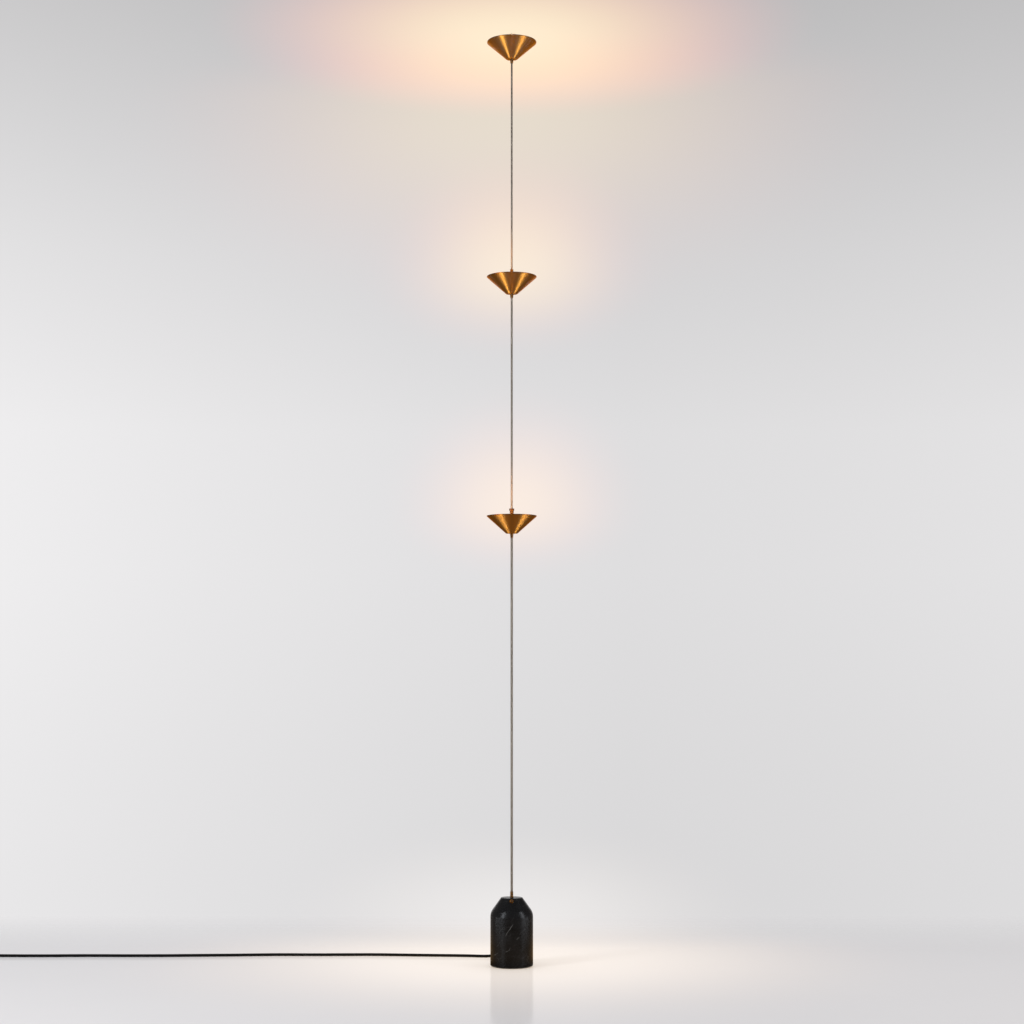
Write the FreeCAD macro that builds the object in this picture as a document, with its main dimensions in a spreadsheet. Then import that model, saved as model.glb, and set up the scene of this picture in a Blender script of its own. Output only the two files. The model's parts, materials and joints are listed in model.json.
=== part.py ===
"""Floor-to-ceiling lamp: three brass uplight shades on a slim telescopic pole.

Millimetres, +Z up.  The origin is the middle of the foot pad's underside, where the
lamp stands.  The dimmer button faces -Y and the mains lead leaves the base towards +Y.
"""
import FreeCAD, Part
import Sketcher
import math
import os

Vector = FreeCAD.Vector
Rotation = FreeCAD.Rotation
Placement = FreeCAD.Placement

DOC = FreeCAD.newDocument("pole_lamp")
SHEET = DOC.addObject("Spreadsheet::Sheet", "sizes")

# name, size in mm (or a count), what it measures
DRIVING_SIZES = (
    # whole lamp
    ("ceiling_height", 2500, "floor to ceiling, the pad's top face"),
    ("top_rim_drop", 22, "ceiling down to the highest shade's rim"),
    ("head_pitch", 647, "rim to rim between neighbouring shades"),
    # stone base
    ("base_radius", 56, "stone cylinder"),
    ("stone_height", 176.5, "stone, underside to flat top"),
    ("stone_top_radius", 28, "flat top of the stone"),
    ("shoulder_rise", 38.4, "height of the sloping shoulder"),
    ("shoulder_round", 34, "rounding between shoulder and cylinder"),
    ("top_edge_round", 1.6, "rounding of the flat top's edge"),
    ("bottom_edge_round", 3, "rounding of the stone's lower edge"),
    ("stone_rim", 7, "stone ring round the recess in the underside"),
    ("recess_depth", 4.5, "shallow recess that takes the cover and the pad"),
    ("ledge_width", 11, "ledge round the hollow, which the cover is screwed to"),
    ("cavity_height", 118.5, "top of the hollow above the stone's underside"),
    ("seat_gap", 0.3, "play of a piece laid in its seat"),
    # underside
    ("pad_thickness", 3, "foot pad"),
    ("pad_width", 21, "foot pad ring, outside to inside"),
    ("cover_thickness", 3, "steel bottom cover"),
    ("cover_screw_count", 4, "cover screws"),
    ("cover_screw_radius", 2, "shank"),
    ("cover_screw_head", 3.8, "countersunk head's radius"),
    ("cover_screw_length", 14, "screw, head's face to tip"),
    ("screw_gap", 0.1, "play between a screw and its hole"),
    # stem tubes
    ("lower_stem_radius", 3.25, "lower tube"),
    ("middle_stem_radius", 2.75, "middle tube, slides in the lower one"),
    ("upper_stem_radius", 2.5, "upper tube"),
    ("stem_wall", 0.5, "wall of the middle and upper tubes"),
    ("sliding_gap", 0.08, "radial play of everything that slides or turns"),
    ("fixed_gap", 0.15, "radial play of everything that is clamped"),
    ("stem_tail", 14, "lower tube below the stone web"),
    ("stem_insertion", 320, "middle tube inside the lower one"),
    # fittings on the stone's top and under its web
    ("base_ferrule_height", 15.6, "ferrule on the stone"),
    ("base_ferrule_foot", 4.5, "its lower radius"),
    ("base_ferrule_top", 4.0, "its upper radius"),
    ("washer_radius", 9, "washer under the web"),
    ("washer_thickness", 1.5, "washer"),
    ("nut_flats", 11, "across flats of the stem nut"),
    ("nut_thickness", 5, "stem nut"),
    # lamp driver in the hollow
    ("driver_width", 44, "case along X"),
    ("driver_depth", 36, "case along Y"),
    ("driver_height", 60, "case without its lid"),
    ("driver_wall", 1.8, "case walls"),
    ("lid_thickness", 2, "driver lid"),
    ("board_thickness", 1.6, "circuit boards"),
    ("board_setback", 2, "driver board from the case's back wall"),
    ("terminal_width", 22, "terminal block along X"),
    ("terminal_depth", 10, "terminal block along Y"),
    ("terminal_height", 14, "terminal block"),
    # dimmer
    ("button_down", 8.2, "flat top's edge to the button's middle, down the shoulder"),
    ("button_radius", 4.8, "push button"),
    ("button_head", 5, "height of its head"),
    ("button_edge_round", 0.8, "rounding of its face's edge"),
    ("button_proud", 1.6, "how far it stands out of the shoulder at rest"),
    ("button_bore_run", 5, "bore in the stone, past the shoulder's slope"),
    ("button_stalk_radius", 2, "stalk"),
    ("button_stalk", 2.6, "stalk's length"),
    ("bush_wall", 0.7, "bush around the button"),
    ("bush_length", 23, "bush, from the shoulder inwards"),
    ("bush_proud", 0.4, "bush rim above the shoulder"),
    ("switch_top", 7, "shoulder to the switch's face"),
    ("switch_length", 14, "switch body"),
    ("switch_lead_radius", 1.2, "lead of the switch"),
    ("switch_lead_offset", 14.5, "lamp axis to that lead"),
    # shades and what they hold
    ("shade_rim_radius", 67, "shade at its rim"),
    ("shade_floor_radius", 15.5, "shade's flat underside"),
    ("shade_height", 47.5, "underside to rim"),
    ("shade_wall", 1.2, "spun brass"),
    ("rim_band", 1.6, "short upright band at the rim"),
    ("ferrule_length", 11.5, "ferrule under a shade"),
    ("ferrule_top", 4.6, "its upper radius"),
    ("ferrule_tip", 3.8, "its lower radius"),
    ("hub_flange_radius", 12, "flange on the shade's floor"),
    ("hub_flange", 3, "flange thickness"),
    ("post_radius", 4.35, "post inside a shade"),
    ("lower_post_rise", 6.5, "lowest post above its rim"),
    ("middle_post_rise", 19.5, "middle post above its rim"),
    ("upper_post_rise", 5, "highest post above its rim"),
    ("heat_sink_height", 8, "aluminium heat sink"),
    ("led_ring_radius", 15.5, "circle radius of the light chips"),
    ("led_board_inner", 7, "ring board, inside"),
    ("led_board_outer", 25, "ring board, outside"),
    ("chip_count", 12, "light chips on a board"),
    ("chip_size", 3.2, "chip's side"),
    ("chip_height", 0.8, "chip"),
    ("board_screw_circle", 20, "circle radius of the board screws"),
    ("board_screw_count", 3, "board screws"),
    ("board_screw_radius", 1.25, "shank"),
    ("board_screw_head", 2.3, "head's radius"),
    ("board_screw_head_height", 1.3, "head"),
    ("board_screw_length", 6, "shank's length"),
    ("diffuser_height", 19, "shade's underside to the diffuser"),
    ("diffuser_thickness", 2, "opal ring"),
    # lock collar
    ("collar_neck_radius", 5.35, "neck"),
    ("collar_neck_height", 7.2, "neck"),
    ("collar_ring_radius", 6.7, "knurled ring"),
    ("collar_ring_height", 5.4, "knurled ring"),
    ("collar_top_wall", 1.5, "collar above the collet"),
    ("collar_groove_radius", 4.9, "turned groove in the neck"),
    ("collar_groove_width", 1.4, "groove"),
    ("grip_count", 16, "grip flutes round the ring"),
    ("grip_radius", 0.7, "flute"),
    ("collet_radius", 4.4, "slotted collet inside the collar"),
    ("collet_slot", 0.6, "slot"),
    ("collet_slot_count", 4, "slots round the collet"),
    # ceiling foot
    ("spring_radius", 3.1, "foot spring, outside"),
    ("spring_wire", 0.8, "spring wire"),
    ("spring_chamber_radius", 3.4, "bore of the highest post"),
    ("spring_seat", 12, "shade's underside to the spring's seat"),
    ("spring_length", 18, "spring as the lamp stands"),
    ("pad_holder_radius", 9.5, "brass disc"),
    ("pad_holder_height", 3.5, "brass disc"),
    ("ceiling_pad_radius", 10.2, "rubber tip"),
    ("ceiling_pad_thickness", 3.5, "rubber above the holder"),
    ("ceiling_pad_skirt", 2, "rubber skirt down the holder's side"),
    # leads inside the pole
    ("feed_radius", 2.3, "coiled feed, outside"),
    ("feed_bore", 1.1, "coiled feed, inside"),
    ("feed_bottom", 500, "height where the coiled feed is fixed"),
    ("feed_plug_height", 4, "plug under the middle tube"),
    ("power_lead_radius", 2, "lead from the driver"),
    ("middle_lead_radius", 1.8, "lead in the middle tube"),
    ("upper_lead_radius", 1.5, "lead in the upper tube"),
    # mains lead
    ("cord_radius", 3.75, "mains lead"),
    ("cord_exit_height", 16, "middle of the lead where it leaves the base"),
    ("gland_wall", 1.6, "gland around the lead"),
    ("gland_proud", 1, "gland past the stone's wall, outside and inside"),
    ("relief_length", 30, "strain relief"),
    ("relief_root_radius", 6.6, "strain relief at the base"),
    ("relief_tip_radius", 4.7, "strain relief at its end"),
    ("cord_play", 0.05, "play between the lead and what it passes through"),
    ("coil_radius", 45, "middle of the put-away turns"),
    ("coil_turns_wide", 2, "turns side by side, and on each other"),
    ("coil_edge_round", 3, "rounding of the outer shape of the turns"),
    ("plug_width", 35, "plug along X"),
    ("plug_length", 34, "plug body along Y"),
    ("plug_thickness", 14, "plug body"),
    ("plug_nose_width", 26, "plug at its face"),
    ("plug_neck_length", 16, "tapered neck behind the body"),
    ("plug_neck_radius", 5.2, "neck where it meets the body"),
    ("plug_pin_radius", 2, "pin"),
    ("plug_pin_length", 19, "pin outside the body"),
    ("plug_pin_spacing", 19, "pin to pin"),
)

# The mains lead's points, from the back of the base along the floor to its put-away
# turns: straight out of the strain relief, round behind the base, then off to the left.
CORD_POINTS = (
    (0, 57, 16),
    (0, 116, 16),
    (-21, 149, 9.5),
    (-66, 158, 3.75),
    (-118, 171.5, 3.75),
    (-196, 177, 3.75),
    (-280, 184, 3.75),
    (-364, 194.5, 3.75),
    (-456, 191.5, 3.75),
    (-540, 189, 3.75),
    (-632, 193.5, 3.75),
    (-736, 184, 3.75),
    (-842, 178.5, 3.75),
    (-946, 172, 3.75),
    (-1052, 171.5, 3.75),
    (-1154, 175, 3.75),
    (-1250, 169.5, 3.75),
    (-1344, 170.5, 3.75),
    (-1422, 172.5, 3.75),
)
# Middle of the put-away turns, and the short end from them to the plug.
COIL_CENTRE = (-1450, 128, 0)
CORD_END_POINTS = ((-1495, 104, 4.5), (-1495, 84, 7))
SHARE_OF_RUN = 0.45

# How near an edge's radius and height come to the named ones to count as the same.
SAME = 0.01

HEADS = ("lower", "middle", "upper")
PARTS_FOLDER = "parts"


class Size:
    """A number from the size table, with the formula that ties it to the table."""

    def __init__(self, value, formula):
        self.value = value
        self.formula = formula

    def __add__(self, other):
        other = as_size(other)
        return Size(self.value + other.value, f"({self.formula} + {other.formula})")

    def __sub__(self, other):
        other = as_size(other)
        return Size(self.value - other.value, f"({self.formula} - {other.formula})")

    def __mul__(self, other):
        other = as_size(other)
        return Size(self.value * other.value, f"({self.formula} * {other.formula})")

    def __truediv__(self, other):
        other = as_size(other)
        return Size(self.value / other.value, f"({self.formula} / {other.formula})")

    def __rsub__(self, other):
        return as_size(other) - self

    def __neg__(self):
        return as_size(0) - self

    __radd__ = __add__
    __rmul__ = __mul__


def as_size(number):
    return number if isinstance(number, Size) else Size(number, f"{number:g}")


def root(size):
    return Size(math.sqrt(size.value), f"sqrt({size.formula})")


class SizeTable:
    """Gives each named cell of the sheet as a Size."""

    def __getattr__(self, name):
        return Size(float(SHEET.get(name)), f"sizes.{name}")


def fill_sheet():
    for row, (name, value, meaning) in enumerate(DRIVING_SIZES, start=1):
        SHEET.set(f"A{row}", name)
        SHEET.set(f"B{row}", f"{value:g}")
        SHEET.setAlias(f"B{row}", name)
        SHEET.set(f"C{row}", meaning)
    DOC.recompute()


def bind(thing, path, size):
    """Ties one property of an object to the size table."""
    thing.setExpression(path, as_size(size).formula)


def lift(thing, height):
    bind(thing, "Placement.Base.z", height)


# ---------------------------------------------------------------- sketches and bodies

def origin_plane(body, role):
    return next(plane for plane in body.Origin.OriginFeatures if plane.Role == role)


def new_sketch(body, name, role):
    sketch = body.newObject("Sketcher::SketchObject", name)
    sketch.AttachmentSupport = (origin_plane(body, role), [""])
    sketch.MapMode = "FlatFace"
    return sketch


def draw_outline(sketch, corners):
    """A closed outline of straight lines, each corner tied to the size table."""
    corners = [(as_size(across), as_size(up)) for across, up in corners]
    points = [Vector(across.value, up.value, 0) for across, up in corners]
    count = len(points)
    for here in range(count):
        line = Part.LineSegment(points[here], points[(here + 1) % count])
        sketch.addGeometry(line, False)
    joints = [Sketcher.Constraint("Coincident", here, 2, (here + 1) % count, 1) for here in range(count)]
    sketch.addConstraint(joints)
    for here, (across, up) in enumerate(corners):
        for letter, direction, size in (("x", "DistanceX", across), ("y", "DistanceY", up)):
            name = f"{letter}{here}"
            index = sketch.addConstraint(Sketcher.Constraint(direction, here, 1, size.value))
            sketch.renameConstraint(index, name)
            bind(sketch, f"Constraints.{name}", size)


def draw_circle(sketch, across, up, radius):
    across, up, radius = as_size(across), as_size(up), as_size(radius)
    circle = Part.Circle(Vector(across.value, up.value, 0), Vector(0, 0, 1), radius.value)
    index = sketch.addGeometry(circle, False)
    limits = (("x", "DistanceX", (index, 3), across), ("y", "DistanceY", (index, 3), up))
    for letter, direction, where, size in limits:
        name = f"{letter}{index}"
        number = sketch.addConstraint(Sketcher.Constraint(direction, *where, size.value))
        sketch.renameConstraint(number, name)
        bind(sketch, f"Constraints.{name}", size)
    name = f"r{index}"
    number = sketch.addConstraint(Sketcher.Constraint("Radius", index, radius.value))
    sketch.renameConstraint(number, name)
    bind(sketch, f"Constraints.{name}", radius)


def turned(label, corners, height=None):
    """A piece turned about Z from its half section, lifted to its height if it has one."""
    body = DOC.addObject("PartDesign::Body", label)
    sketch = new_sketch(body, f"{label}_section", "XZ_Plane")
    draw_outline(sketch, corners)
    turn = body.newObject("PartDesign::Revolution", f"{label}_turned")
    turn.Profile = sketch
    turn.ReferenceAxis = (sketch, ["V_Axis"])
    turn.Angle = 360
    if height is not None:
        lift(body, height)
    return body


def tube(label, outer, inner, length, height):
    corners = ((inner, 0), (outer, 0), (outer, length), (inner, length))
    return turned(label, corners, height)


def rod(label, radius, length, height):
    return turned(label, ((0, 0), (radius, 0), (radius, length), (0, length)), height)


def straight_sided(label, corners, length, height=None):
    """A straight-sided piece from its plan outline."""
    body = DOC.addObject("PartDesign::Body", label)
    sketch = new_sketch(body, f"{label}_plan", "XY_Plane")
    draw_outline(sketch, corners)
    pad = body.newObject("PartDesign::Pad", f"{label}_pad")
    pad.Profile = sketch
    bind(pad, "Length", length)
    if height is not None:
        lift(body, height)
    return body


def pocket_ring(body, name, circle_radius, hole_radius, count, base, depth, start=0):
    """Like holes evenly round the axis, cut upwards from a height of the body.

    The first hole lies so many degrees from +X.
    """
    sketch = new_sketch(body, f"{name}_plan", "XY_Plane")
    bind(sketch, "AttachmentOffset.Base.z", base)
    across = circle_radius * math.cos(math.radians(start))
    draw_circle(sketch, across, circle_radius * math.sin(math.radians(start)), hole_radius)
    pocket = body.newObject("PartDesign::Pocket", name)
    pocket.Profile = sketch
    pocket.Reversed = True
    bind(pocket, "Length", depth)
    DOC.recompute()
    pattern = body.newObject("PartDesign::PolarPattern", f"{name}s")
    pattern.Originals = [pocket]
    pattern.Axis = (sketch, ["N_Axis"])
    pattern.Angle = 360
    bind(pattern, "Occurrences", count)
    body.Tip = pattern
    DOC.recompute()
    return pattern


def circles_at(shape, rings):
    """Names of the circular edges with the given (radius, height) pairs."""
    names = []
    for number, edge in enumerate(shape.Edges, start=1):
        if not isinstance(edge.Curve, Part.Circle):
            continue
        for radius, height in rings:
            same_radius = abs(edge.Curve.Radius - as_size(radius).value) < SAME
            same_height = abs(edge.Curve.Center.z - as_size(height).value) < SAME
            if same_radius and same_height:
                names.append(f"Edge{number}")
    return names


def round_rings(body, name, radius, rings):
    """Rounds circular edges of a turned body, given in the body's own heights."""
    DOC.recompute()
    tip = body.Tip
    names = circles_at(tip.Shape, rings)
    if len(names) != len(rings):
        raise RuntimeError(f"{name}: expected {len(rings)} edges, found {len(names)}")
    fillet = body.newObject("PartDesign::Fillet", name)
    fillet.Base = (tip, names)
    bind(fillet, "Radius", radius)
    body.Tip = fillet
    return fillet


# ---------------------------------------------------------------- primitives

def box(name, width, depth, height, middle_x, middle_y, bottom):
    """A box by its sizes, the middle of its plan and its underside."""
    block = DOC.addObject("Part::Box", name)
    bind(block, "Length", width)
    bind(block, "Width", depth)
    bind(block, "Height", height)
    bind(block, "Placement.Base.x", as_size(middle_x) - as_size(width) / 2)
    bind(block, "Placement.Base.y", as_size(middle_y) - as_size(depth) / 2)
    bind(block, "Placement.Base.z", bottom)
    return block


def round_bar(name, radius, length, turn=None):
    bar = DOC.addObject("Part::Cylinder", name)
    bind(bar, "Radius", radius)
    bind(bar, "Height", length)
    if turn is not None:
        bar.Placement = Placement(Vector(0, 0, 0), turn)
    return bar


def move(thing, across=0, back=0, up=0):
    bind(thing, "Placement.Base.x", across)
    bind(thing, "Placement.Base.y", back)
    bind(thing, "Placement.Base.z", up)
    return thing


def joined(label, pieces):
    fusion = DOC.addObject("Part::MultiFuse", label)
    fusion.Shapes = pieces
    return fusion


def less(label, whole, tools):
    """The whole less one tool or several."""
    tool = tools[0] if len(tools) == 1 else joined(f"{label}_tools", tools)
    rest = DOC.addObject("Part::Cut", label)
    rest.Base = whole
    rest.Tool = tool
    return rest


def group(label, shapes):
    """Several like solids that share a node."""
    feature = DOC.addObject("Part::Feature", label)
    feature.Shape = Part.makeCompound(shapes)
    return feature


def round_the_axis(shape, count, start=0):
    """Copies of a shape evenly round the lamp's axis, the first turned by the start angle."""
    turns = [start + 360.0 * number / count for number in range(count)]
    return [shape.rotated(Vector(0, 0, 0), Vector(0, 0, 1), turn) for turn in turns]


TO_THE_BACK = Rotation(Vector(1, 0, 0), -90)
COVER_SCREWS_START = 45


# ---------------------------------------------------------------- heights

fill_sheet()
S = SizeTable()

STONE_BOTTOM = S.pad_thickness + S.cover_thickness - S.recess_depth
STONE_TOP = STONE_BOTTOM + S.stone_height
COVER_TOP = S.pad_thickness + S.cover_thickness
WEB_BOTTOM = STONE_BOTTOM + S.cavity_height
SHOULDER_BOTTOM = STONE_TOP - S.shoulder_rise
DRIVER_TOP = COVER_TOP + S.driver_height
LID_TOP = DRIVER_TOP + S.lid_thickness
NUT_BOTTOM = WEB_BOTTOM - S.washer_thickness - S.nut_thickness
STEM_BOTTOM = WEB_BOTTOM - S.stem_tail

TOP_RIM = S.ceiling_height - S.top_rim_drop
RIMS = {
    "lower": TOP_RIM - 2 * S.head_pitch,
    "middle": TOP_RIM - S.head_pitch,
    "upper": TOP_RIM,
}
LOWER_POST_TOP = RIMS["lower"] + S.lower_post_rise
COLLAR_TOP = LOWER_POST_TOP + S.collar_neck_height + S.collar_ring_height
MIDDLE_STEM_BOTTOM = LOWER_POST_TOP - S.stem_insertion
SPRING_BOTTOM = TOP_RIM - S.shade_height + S.spring_seat
HOLDER_BOTTOM = S.ceiling_height - S.ceiling_pad_thickness - S.pad_holder_height

LOWER_STEM_BORE = S.middle_stem_radius + S.sliding_gap
STEM_RADII = {
    "lower": S.lower_stem_radius,
    "middle": S.middle_stem_radius,
    "upper": S.upper_stem_radius,
}


def shade_floor(head):
    """Height of a shade's underside."""
    return RIMS[head] - S.shade_height


# The shade's cone, as radii over the height above its underside.
CONE_SLOPE = (S.shade_rim_radius - S.shade_floor_radius) / (S.shade_height - S.rim_band)
WALL_ACROSS = S.shade_wall * root(1 + CONE_SLOPE * CONE_SLOPE)


def cone_outside(up):
    return S.shade_floor_radius + CONE_SLOPE * up


def cone_inside(up):
    return cone_outside(up) - WALL_ACROSS


# ---------------------------------------------------------------- the stone base

RECESS_RADIUS = S.base_radius - S.stone_rim
CAVITY_RADIUS = RECESS_RADIUS - S.ledge_width
COVER_SCREW_CIRCLE = RECESS_RADIUS - S.ledge_width / 2


def shoulder_frame():
    """Placement on the shoulder's slope under the button, with +Z straight out of it."""
    run = S.base_radius.value - S.stone_top_radius.value
    rise = S.shoulder_rise.value
    slope_length = math.hypot(run, rise)
    down = S.button_down.value
    radius = S.stone_top_radius.value + down * run / slope_length
    height = STONE_TOP.value - down * rise / slope_length
    tilt = math.degrees(math.atan2(rise, run))
    return Placement(Vector(0, -radius, height), Rotation(Vector(1, 0, 0), tilt))


BUTTON_FRAME = shoulder_frame()
BUSH_RADIUS = S.button_radius + S.sliding_gap + S.bush_wall


def on_shoulder(thing, depth):
    """Puts a piece on the button's axis, so far below the shoulder's surface."""
    offset = Placement(Vector(0, 0, -as_size(depth).value), Rotation())
    thing.Placement = BUTTON_FRAME.multiply(offset)
    return thing


def marble_base():
    bore = S.lower_stem_radius + S.fixed_gap
    stone = turned("stone_blank", (
        (bore, WEB_BOTTOM - STONE_BOTTOM),
        (bore, S.stone_height),
        (S.stone_top_radius, S.stone_height),
        (S.base_radius, SHOULDER_BOTTOM - STONE_BOTTOM),
        (S.base_radius, 0),
        (RECESS_RADIUS, 0),
        (RECESS_RADIUS, S.recess_depth),
        (CAVITY_RADIUS, S.recess_depth),
        (CAVITY_RADIUS, WEB_BOTTOM - STONE_BOTTOM),
    ), STONE_BOTTOM)
    round_rings(stone, "shoulder_rounding", S.shoulder_round,
                [(S.base_radius, SHOULDER_BOTTOM - STONE_BOTTOM)])
    round_rings(stone, "top_edge_rounding", S.top_edge_round, [(S.stone_top_radius, S.stone_height)])
    round_rings(stone, "bottom_edge_rounding", S.bottom_edge_round, [(S.base_radius, 0)])
    pocket_ring(stone, "cover_screw_hole", COVER_SCREW_CIRCLE, S.cover_screw_radius + S.screw_gap,
                S.cover_screw_count, S.recess_depth, S.cover_screw_length, COVER_SCREWS_START)

    gland_hole = round_bar("gland_hole", gland_radius() + S.screw_gap, S.base_radius, TO_THE_BACK)
    move(gland_hole, 0, CAVITY_RADIUS / 2, S.cord_exit_height)
    button_bore = round_bar("button_bore", BUSH_RADIUS + S.screw_gap, S.bush_length + S.button_bore_run)
    on_shoulder(button_bore, S.bush_length)
    way_radius = S.switch_lead_radius + S.seat_gap
    way_top = height_on_button_axis(S.bush_length, S.switch_lead_offset - way_radius)
    lead_way = round_bar("lead_way", way_radius, way_top - WEB_BOTTOM.value)
    move(lead_way, 0, -S.switch_lead_offset, WEB_BOTTOM)
    return less("marble_base", stone, [gland_hole, button_bore, lead_way])


def height_on_button_axis(depth, offset):
    """Height of the plane across the button's axis, at a depth, so far from the lamp's axis."""
    middle = BUTTON_FRAME.multVec(Vector(0, 0, -depth.value))
    out = BUTTON_FRAME.Rotation.multVec(Vector(0, 0, 1))
    return middle.z - (-offset.value - middle.y) * out.y / out.z


def foot_pad():
    outer = RECESS_RADIUS - S.seat_gap
    return tube("foot_pad", outer, outer - S.pad_width, S.pad_thickness, 0)


def bottom_cover():
    plate = turned("cover_plate", (
        (0, 0),
        (RECESS_RADIUS - S.seat_gap, 0),
        (RECESS_RADIUS - S.seat_gap, S.cover_thickness),
        (0, S.cover_thickness),
    ), S.pad_thickness)
    pocket_ring(plate, "cover_hole", COVER_SCREW_CIRCLE, S.cover_screw_radius + S.screw_gap,
                S.cover_screw_count, 0, S.cover_thickness, COVER_SCREWS_START)
    sinks = group("countersinks", round_the_axis(countersink(S.screw_gap.value),
                                                 int(S.cover_screw_count.value), COVER_SCREWS_START))
    return less("bottom_cover", plate, [sinks])


def countersink(play):
    """The cone of a cover screw's head, grown by some play, at its place."""
    head = S.cover_screw_head.value + play
    shank = S.cover_screw_radius.value + play
    place = Vector(COVER_SCREW_CIRCLE.value, 0, S.pad_thickness.value)
    return Part.makeCone(head, shank, head - shank, place)


def cover_screws():
    place = Vector(COVER_SCREW_CIRCLE.value, 0, S.pad_thickness.value)
    shank = Part.makeCylinder(S.cover_screw_radius.value, S.cover_screw_length.value, place)
    screw = countersink(0).fuse(shank).removeSplitter()
    count = int(S.cover_screw_count.value)
    return group("cover_screws", round_the_axis(screw, count, COVER_SCREWS_START))


def base_ferrule():
    bore = S.lower_stem_radius + S.sliding_gap
    return turned("base_ferrule", (
        (bore, 0),
        (S.base_ferrule_foot, 0),
        (S.base_ferrule_top, S.base_ferrule_height),
        (bore, S.base_ferrule_height),
    ), STONE_TOP)


def stem_washer():
    return tube("stem_washer", S.washer_radius, S.lower_stem_radius + S.sliding_gap,
                S.washer_thickness, WEB_BOTTOM - S.washer_thickness)


def stem_nut():
    corner = S.nut_flats / 2 / math.cos(math.radians(30))
    corners = []
    for number in range(6):
        angle = math.radians(60 * number)
        corners.append((corner * math.cos(angle), corner * math.sin(angle)))
    nut = straight_sided("nut_blank", corners, S.nut_thickness, NUT_BOTTOM)
    bore = round_bar("nut_bore", S.lower_stem_radius + S.sliding_gap, S.nut_thickness)
    lift(bore, NUT_BOTTOM)
    return less("stem_nut", nut, [bore])


# ---------------------------------------------------------------- inside the base

def driver_case():
    shell = box("driver_block", S.driver_width, S.driver_depth, S.driver_height, 0, 0, COVER_TOP)
    hollow = box("driver_hollow", S.driver_width - 2 * S.driver_wall, S.driver_depth - 2 * S.driver_wall,
                 S.driver_height, 0, 0, COVER_TOP + S.driver_wall)
    return less("driver_case", shell, [hollow])


def driver_lid():
    plate = box("lid_plate", S.driver_width, S.driver_depth, S.lid_thickness, 0, 0, DRIVER_TOP)
    power_hole = round_bar("power_hole", S.power_lead_radius + S.screw_gap, S.lid_thickness)
    move(power_hole, 0, 0, DRIVER_TOP)
    switch_hole = round_bar("switch_hole", S.switch_lead_radius + S.screw_gap, S.lid_thickness)
    move(switch_hole, 0, -S.switch_lead_offset, DRIVER_TOP)
    return less("driver_lid", plate, [power_hole, switch_hole])


def driver_board():
    """Circuit board on edge, with its transformer and two capacitors."""
    play = S.seat_gap
    width = S.driver_width - 2 * S.driver_wall - 2 * play
    bottom = COVER_TOP + S.driver_wall + play
    height = S.driver_height - S.driver_wall - 2 * play
    back = S.driver_depth / 2 - S.driver_wall - S.board_setback
    board = box("board_plate", width, S.board_thickness, height, 0, back - S.board_thickness / 2, bottom)
    parts_front = back - S.board_thickness
    transformer = box("transformer", S.driver_width / 2, S.driver_depth / 2, S.driver_height / 3,
                      0, parts_front - S.driver_depth / 4, bottom + S.driver_height / 3)
    pieces = [board, transformer]
    for number, side in enumerate((-1, 1), start=1):
        can = round_bar(f"capacitor_{number}", S.driver_depth / 6, S.driver_depth / 2, TO_THE_BACK)
        move(can, side * S.driver_width / 4, parts_front - S.driver_depth / 2,
             bottom + S.driver_height / 6)
        pieces.append(can)
    return joined("driver_board", pieces)


def terminal_block():
    middle = S.driver_depth / 2 + S.terminal_depth / 2
    bottom = S.cord_exit_height - S.terminal_height / 2
    return box("terminal_block", S.terminal_width, S.terminal_depth, S.terminal_height, 0, middle, bottom)


def button_bush():
    bore = S.button_radius + S.sliding_gap
    top = S.bush_length + S.bush_proud
    bush = turned("button_bush", ((bore, 0), (BUSH_RADIUS, 0), (BUSH_RADIUS, top), (bore, top)))
    return on_shoulder(bush, S.bush_length)


def dimmer_switch():
    """Round switch in the bush, with a socket for the button's stalk."""
    socket_radius = S.button_stalk_radius + S.fixed_gap
    socket_floor = S.switch_length - S.button_stalk - S.button_proud
    switch = turned("dimmer_switch", (
        (0, 0),
        (S.button_radius, 0),
        (S.button_radius, S.switch_length),
        (socket_radius, S.switch_length),
        (socket_radius, socket_floor),
        (0, socket_floor),
    ))
    return on_shoulder(switch, S.switch_top + S.switch_length)


def dimmer_button():
    """Push button: a low round head on a stalk that reaches into the switch."""
    head_bottom = S.button_stalk + S.switch_top - S.button_head + S.button_proud
    head_top = head_bottom + S.button_head
    button = turned("dimmer_button", (
        (0, 0),
        (S.button_stalk_radius, 0),
        (S.button_stalk_radius, head_bottom),
        (S.button_radius, head_bottom),
        (S.button_radius, head_top),
        (0, head_top),
    ))
    round_rings(button, "button_face_rounding", S.button_edge_round, [(S.button_radius, head_top)])
    return on_shoulder(button, S.switch_top + S.button_stalk)


def switch_lead():
    """From the driver's lid straight up to the back of the switch."""
    back_of_switch = height_on_button_axis(S.switch_top + S.switch_length,
                                           S.switch_lead_offset + S.switch_lead_radius)
    lead = round_bar("switch_lead", S.switch_lead_radius, back_of_switch - DRIVER_TOP.value)
    return move(lead, 0, -S.switch_lead_offset, DRIVER_TOP)


# ---------------------------------------------------------------- the stem

def lower_stem():
    return tube("lower_stem", S.lower_stem_radius, LOWER_STEM_BORE,
                LOWER_POST_TOP - STEM_BOTTOM, STEM_BOTTOM)


def middle_stem():
    return tube("middle_stem", S.middle_stem_radius, S.middle_stem_radius - S.stem_wall,
                stem_joint("middle") - MIDDLE_STEM_BOTTOM, MIDDLE_STEM_BOTTOM)


def upper_stem():
    return tube("upper_stem", S.upper_stem_radius, S.upper_stem_radius - S.stem_wall,
                stem_joint("upper") - stem_joint("middle"), stem_joint("middle"))


def stem_joint(head):
    """Height inside a head's post where its lower tube ends."""
    return shade_floor(head) + S.spring_seat


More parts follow.
